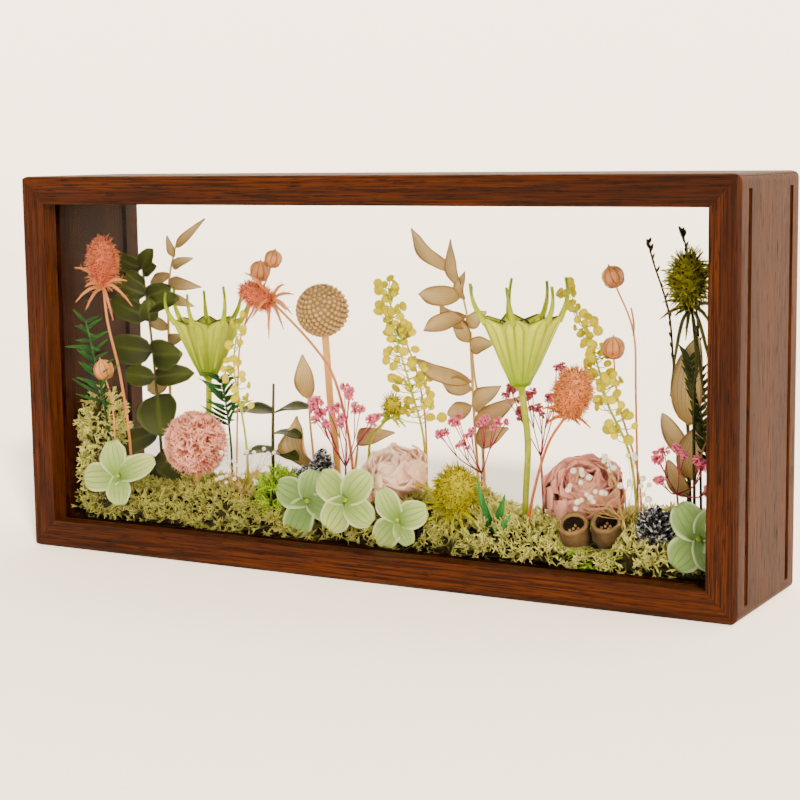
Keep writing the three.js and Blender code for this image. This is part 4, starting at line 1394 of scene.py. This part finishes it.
def build_discs():
    discs("disc_sprig_left", [(-60, -6, ROOM_Z), (-61, -6, 43), (-64, -6, 62), (-66, -6, 76),
                              (-63, -7, 92)], 26, 9, 71, 0.38)
    discs("disc_sprig_middle", [(12, 8.5, ROOM_Z), (11, 9, 46), (6, 9, 66), (-1, 9, 88),
                                (-4, 9, 106)], 92, 14, 72, 0.35)
    discs("disc_sprig_right", [(105, -4, ROOM_Z), (101, -3, 48), (92, -3, 68), (87, 1, 79),
                               (79, 10, 90), (67, 15.5, 106)], 80, 9, 73, 0.25)


# ------------------------------------------------------------------ roses and hydrangeas


def rose(node, skin, heart, radii, aim, petals, stem, seed):
    """A preserved rose: crumpled petals packed round a heart that looks along its aim."""
    made = Growth(seed).wear(STEM_OLIVE)
    made.stem(smooth(stem), 1.2, 7)
    made.wear(skin)
    turn = upright(aim)
    chance = made.random
    mean_radius = (radii[0] + radii[2]) / 2
    first = len(made.points)
    for k in range(petals):
        ring = (k + 0.5) / petals
        angle = k * GOLDEN_ANGLE
        open_out = 0.12 + 1.35 * ring**0.8
        out = Vector((math.cos(angle) * math.sin(open_out), math.sin(angle) * math.sin(open_out),
                      math.cos(open_out)))
        size = 0.45 + 0.55 * ring**0.5
        foot = turn @ Vector((math.cos(angle) * 0.18 * ring, math.sin(angle) * 0.18 * ring,
                              -0.75 + 0.2 * ring))
        tip = turn @ (out * size * chance.uniform(0.85, 1.0))
        inwards = turn @ Vector((-math.cos(angle), -math.sin(angle), 0.25 + 0.6 * ring))
        width = (0.6 + 0.8 * ring) * mean_radius
        made.leaf(in_egg(heart, radii, foot), in_egg(heart, radii, tip), width, inwards, petal,
                  -0.2, 0.45, 0.5, 0.35, 12, 12)
    made.crumple(first, 1.5, 4.5)
    made.crumple(first, 0.5, 1.7)
    piece(node, keep_inside(made.mesh(node)))


def petal(t):
    return min(1, 0.3 + 1.1 * t) * (1 - max(0, t - 0.72) ** 2 * 6)


def build_roses():
    # A preserved petal is soft and matte and pale at its edge. Its darker foot, deep in the
    # rose, is partly the petal's own colour and partly painted shade.
    cream = grown("rose petal, preserved cream blush", "#ec8450", "#ffe8d2", "#eb9a70",
                  spread=0.3)
    mauve = grown("rose petal, preserved dusty mauve", "#6a1c20", "#f2b0a0", "#7c2c30",
                  spread=0.4)
    rose("rose_cream", cream, (6, -6, 37), (15, 10, 14), (-0.15, -0.55, 0.8), 30,
         [(6, -4, ROOM_Z), (6, -5, 20), (6, -5, 28)], 74)
    rose("rose_mauve", mauve, (81, 2, 35), (18, 12, 15), (0.1, -0.6, 0.75), 34,
         [(82, 3, ROOM_Z), (82, 3, 20), (82, 3, 28)], 75)


def sepal(t):
    return max(0.1, math.sin(math.pi * min(1, 0.05 + t**1.15 * 0.95))) ** 0.42


def floret(node, centre, petals, foot, seed, skin):
    """A hydrangea floret: broad veined sepals round a small bead."""
    made = Growth(seed).wear(STEM_LIME)
    made.stem(smooth([foot, Vector(foot).lerp(Vector(centre), 0.6), centre]), 0.6, 6)
    made.wear(skin)
    for tip, width, bow in petals:
        made.leaf(centre, tip, width, (0.15, -1, 0.12), sepal, bow, 0.12, 0.14, 0.3, 12, 10)
    made.wear(STEM_LIME)
    made.ball(Vector(centre) + Vector((0, -1, 0)), (1, 0.9), sides=8, rows=5)
    piece(node, keep_inside(made.mesh(node)))


def build_hydrangeas():
    # A preserved sepal is satiny, with raised veins and a pale rim.
    mint = grown("hydrangea sepal, preserved mint", "#5c8428", "#c6d888", "#5c7f30", 0.5,
                 veins=5, vein="#6f9440", rim="#d2e2a4", spread=0.4)
    sage = grown("hydrangea sepal, preserved sage", "#46662a", "#90b068", "#3f5f28", 0.5,
                 veins=5, vein="#58793a", rim="#b8d09a", spread=0.4)
    floret("hydrangea_left", (-116, -17, 29),
           [((-134, -17.5, 27), 12, 0.05), ((-120, -16, 43), 12, 0.08), ((-98, -17, 37), 10, 0.06),
            ((-115, -18.4, 17), 11, 0.04)], (-114, -13, ROOM_Z), 76, mint)
    floret("hydrangea_middle_a", (-26, -16.5, 26),
           [((-40, -16.5, 31), 12, 0.06), ((-23, -16.4, 38), 11, 0.06),
            ((-33, -17.4, 12), 13, 0.04), ((-15, -16.2, 22), 10, 0.05)],
           (-24, -13, ROOM_Z), 77, sage)
    floret("hydrangea_middle_b", (-8, -18, 28),
           [((-20, -17.6, 37), 12.5, 0.05), ((2, -17.8, 39), 12.5, 0.06),
            ((-16, -18.6, 16), 13, 0.03), ((3, -18.2, 20), 12, 0.04)], (-7, -14, ROOM_Z), 78, mint)
    floret("hydrangea_middle_c", (14, -17.5, 22),
           [((6, -16.6, 33), 10, 0.08), ((5, -18, 12), 11.5, 0.03), ((26, -17.2, 27), 11, 0.06),
            ((19, -17.8, 13), 8, 0.03)], (15, -13, ROOM_Z), 79, mint)
    floret("hydrangea_right", (132, -17.5, 26),
           [((124, -17.2, 37), 12, 0.06), ((123, -17.8, 15), 13, 0.04),
            ((137.5, -17.2, 36), 9, 0.04), ((136.5, -17.6, 15), 9, 0.03)],
           (131, -13, ROOM_Z), 80, sage)


# ------------------------------------------------------------------ cones and gum nuts


def glittered(name, ground, glitter):
    """Dry black scales with silver glitter glued on in small flakes. The flakes are drawn
    twice as coarse as real ones, so that they show."""
    made, tree, shader = begin(name, 0.32, 1.5)
    place = add(tree, "ShaderNodeTexCoord").outputs["Object"]
    flakes = add(tree, "ShaderNodeTexVoronoi", {"Vector": place, "Scale": 1 / (0.6 * MM)})
    chance = add(tree, "ShaderNodeSeparateColor", {0: flakes.outputs["Color"]}).outputs
    flake = add(
        tree, "ShaderNodeMapRange", {"Value": chance[0], "From Min": 0.6, "From Max": 0.64}
    ).outputs[0]
    surface = add(
        tree, "ShaderNodeMix", {0: flake, 6: colour(ground), 7: colour(glitter)}, data_type="RGBA"
    ).outputs[2]
    bump = add(
        tree, "ShaderNodeBump", {"Height": chance[1], "Strength": 0.8, "Distance": 0.25 * MM}
    )
    tree.links.new(surface, shader.inputs["Base Color"])
    tree.links.new(flake, shader.inputs["Metallic"])
    tree.links.new(bump.outputs[0], shader.inputs["Normal"])
    return made


CONE_DARK = grown("cone heart, black", "#0d0d0e", "#1a1b1d", "#060606")
CONE_SILVER = glittered("cone scale, black with silver glitter", "#0d0e12", "#d5dae2")


def cone(node, lumps, scale_size, seed):
    """A small cone, black with silver flecked scales, in lumps of (centre, radii, scales)."""
    made = Growth(seed)
    for centre, radii, count in lumps:
        first = len(made.points)
        made.wear(CONE_DARK).ball((0, 0, 0), (0.8, 0.8), sides=10)
        made.points[first:] = [in_egg(centre, radii, p) for p in made.points[first:]]
        made.wear(CONE_SILVER)
        for out in spiral(count):
            foot = in_egg(centre, radii, out * 0.62)
            rise = (out + Vector((0, 0, 0.55))).normalized()
            tip = in_egg(centre, radii, out * 0.86 + rise * 0.2) + astray(made.random, 1)
            width = scale_size * made.random.uniform(0.6, 1.15)
            made.leaf(foot, tip, width, rise + Vector((0, 0, 0.4)), rounded, 0.1, -0.4, 0.3,
                      thick=0.8, rows=4, cols=3)
    piece(node, keep_inside(made.mesh(node)))


def dented(angle, height):
    """Shallow ribs and dents in dry wood."""
    return 1 + 0.03 * math.sin(3 * angle + height) + 0.025 * math.sin(13 * angle + 0.6 * height)


def gum_nut(node, base, axis, seed):
    """A woody gum nut: a rough cup with a thick rim and a dark hollow with pale seeds. The
    bark is matte, grey brown in the dents and worn pale at the rim."""
    bark = grown(f"gum nut, dry wood {seed}", "#241a0c", "#b08a58", "#120c06", 0.8, spread=0.7)
    hollow = grown(f"gum nut hollow {seed}", "#120d09", "#1d150e", "#0a0705", 0.9)
    seeds = grown(f"gum nut seeds {seed}", "#9a7c48", "#cfae74", "#5d4a30", 0.7)
    made = Growth(seed).wear(bark)
    made.turned([(0.8, 0), (2.4, 0.3), (4.3, 2), (5.4, 4.6), (5.6, 7), (5.3, 9.6), (4.8, 11.6),
                 (4.9, 12.3), (5.3, 12.7), (5.4, 13.4), (5.1, 14), (4.6, 14.2), (4.1, 13.9),
                 (3.9, 13), (3.9, 8.6)], base, axis, 32, dented)
    made.wear(hollow)
    made.turned([(0.3, 8.7), (4.05, 8.7), (4.1, 12.7), (3.75, 13), (3.5, 12.4), (3.5, 9.2),
                 (0.3, 9)], base, axis, 24)
    made.wear(seeds)
    turn = upright(axis)
    seed_level = 9.7
    for k in range(9):
        angle, reach = k * 2.4, 0.8 + 0.25 * k
        spot = turn @ Vector((reach * math.cos(angle), reach * math.sin(angle), seed_level))
        made.ball(Vector(base) + spot, (0.55, 0.5), sides=6, rows=4)
    piece(node, made.mesh(node))


def build_cones_and_nuts():
    cone("cone_left", [((-30, -7, 32), (8.4, 6.5, 6), 80), ((-25, -7, 39), (4, 4, 5), 34)],
         3.4, 81)
    cone("cone_right", [((113, -10.4, 26), (7.6, 6.4, 7.4), 90)], 3.4, 82)
    gum_nut("gumnut_left", (82, -6.5, 15.5), (0.12, -0.6, 0.8), 83)
    gum_nut("gumnut_right", (93.5, -6.5, 17.5), (0.2, -0.6, 0.8), 84)


build_box()
build_thistles()
build_flax()
build_ball_pod()
build_eucalyptus()
build_ruscus()
build_needles_and_blades()
build_twigs()
build_nigella()
build_pompon()
build_sprays()
build_discs()
build_roses()
build_hydrangeas()
build_cones_and_nuts()
build_moss()

# ------------------------------------------------------------------ camera, light and floor

# The eye is in millimetres and its turns in degrees.
EYE = Vector((349.721, -615.476, 159.77))
YAW, PITCH, ROLL = (math.radians(a) for a in (29.2381, 7.6975, -0.7348))
LENS = 84.21


def set_camera():
    """The eye at the right of the box, looking slightly down at it."""
    ahead = Vector((-math.sin(YAW) * math.cos(PITCH), math.cos(YAW) * math.cos(PITCH),
                    -math.sin(PITCH)))
    level = Vector((math.cos(YAW), math.sin(YAW), 0))
    up = level.cross(ahead)
    right = level * math.cos(ROLL) + up * math.sin(ROLL)
    up = right.cross(ahead)
    camera = bpy.data.cameras.new("camera")
    camera.lens = LENS
    camera.sensor_width = 36
    made = to_object("camera", camera)
    turn = Matrix((right, up, -ahead)).transposed().to_4x4()
    made.matrix_world = Matrix.Translation(EYE * MM) @ turn
    bpy.context.scene.camera = made


def soft_light(name, place, aim, size, power, tint):
    """A bright panel that faces the spot it is aimed at. Its places are in metres."""
    lamp = bpy.data.lights.new(name, "AREA")
    lamp.shape = "RECTANGLE"
    lamp.size, lamp.size_y = size
    lamp.energy = power
    lamp.color = colour(tint)[:3]
    made = to_object(name, lamp)
    made.location = place
    made.rotation_euler = (Vector(aim) - Vector(place)).to_track_quat("-Z", "Y").to_euler()


def set_stage():
    """A pale paper sweep, level under the box and curved up to a wall far behind it, lit by a
    low warm sun from the front right and a window at the right."""
    paper, _, shader = begin("pale paper sweep", 0.9)
    shader.inputs["Base Color"].default_value = colour("#f4f2ee")
    reach, level_end, curve, tall = 30, 1.6, 1.4, 9
    bend = [(level_end + curve * math.sin(a), curve - curve * math.cos(a))
            for a in (math.pi * k / 48 for k in range(25))]
    profile = [(-reach, 0), *bend, (level_end + curve, tall)]
    points = [(x, y, z) for y, z in profile for x in (-reach, reach)]
    faces = [(2 * k, 2 * k + 1, 2 * k + 3, 2 * k + 2) for k in range(len(profile) - 1)]
    sweep = bpy.data.meshes.new("sweep")
    sweep.from_pydata(points, [], faces)
    sweep.polygons.foreach_set("use_smooth", [True] * len(faces))
    sweep.materials.append(paper)
    to_object("sweep", sweep)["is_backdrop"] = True

    sun = bpy.data.lights.new("low warm sun", "SUN")
    sun.energy = 16
    sun.angle = 0.12
    sun.color = colour("#ffe6c8")[:3]
    made = to_object("low warm sun", sun)
    made.rotation_euler = Vector((-1.0, 1.1, -0.8)).to_track_quat("-Z", "Y").to_euler()
    soft_light("window at the right", (1.5, 0.3, 0.6), (0, 0, 0.07), (0.9, 0.9), 12, "#ffe9d2")


def set_world():
    """A pale studio, brighter at the horizon than overhead."""
    world = bpy.data.worlds.new("studio")
    world.use_nodes = True
    tree = world.node_tree
    way = add(tree, "ShaderNodeTexCoord").outputs["Generated"]
    height = add(tree, "ShaderNodeSeparateXYZ", {0: way}).outputs["Z"]
    rise = add(tree, "ShaderNodeMapRange", {"Value": height, "From Min": 0.02, "From Max": 0.4})
    horizon, overhead = (2.1, 2.05, 1.96, 1), (0.45, 0.45, 0.47, 1)
    sky = add(
        tree, "ShaderNodeMix", {0: rise.outputs[0], 6: horizon, 7: overhead}, data_type="RGBA"
    )
    tree.links.new(sky.outputs[2], tree.nodes["Background"].inputs["Color"])
    bpy.context.scene.world = world


set_camera()
set_stage()
set_world()

write_size("look", sizes)
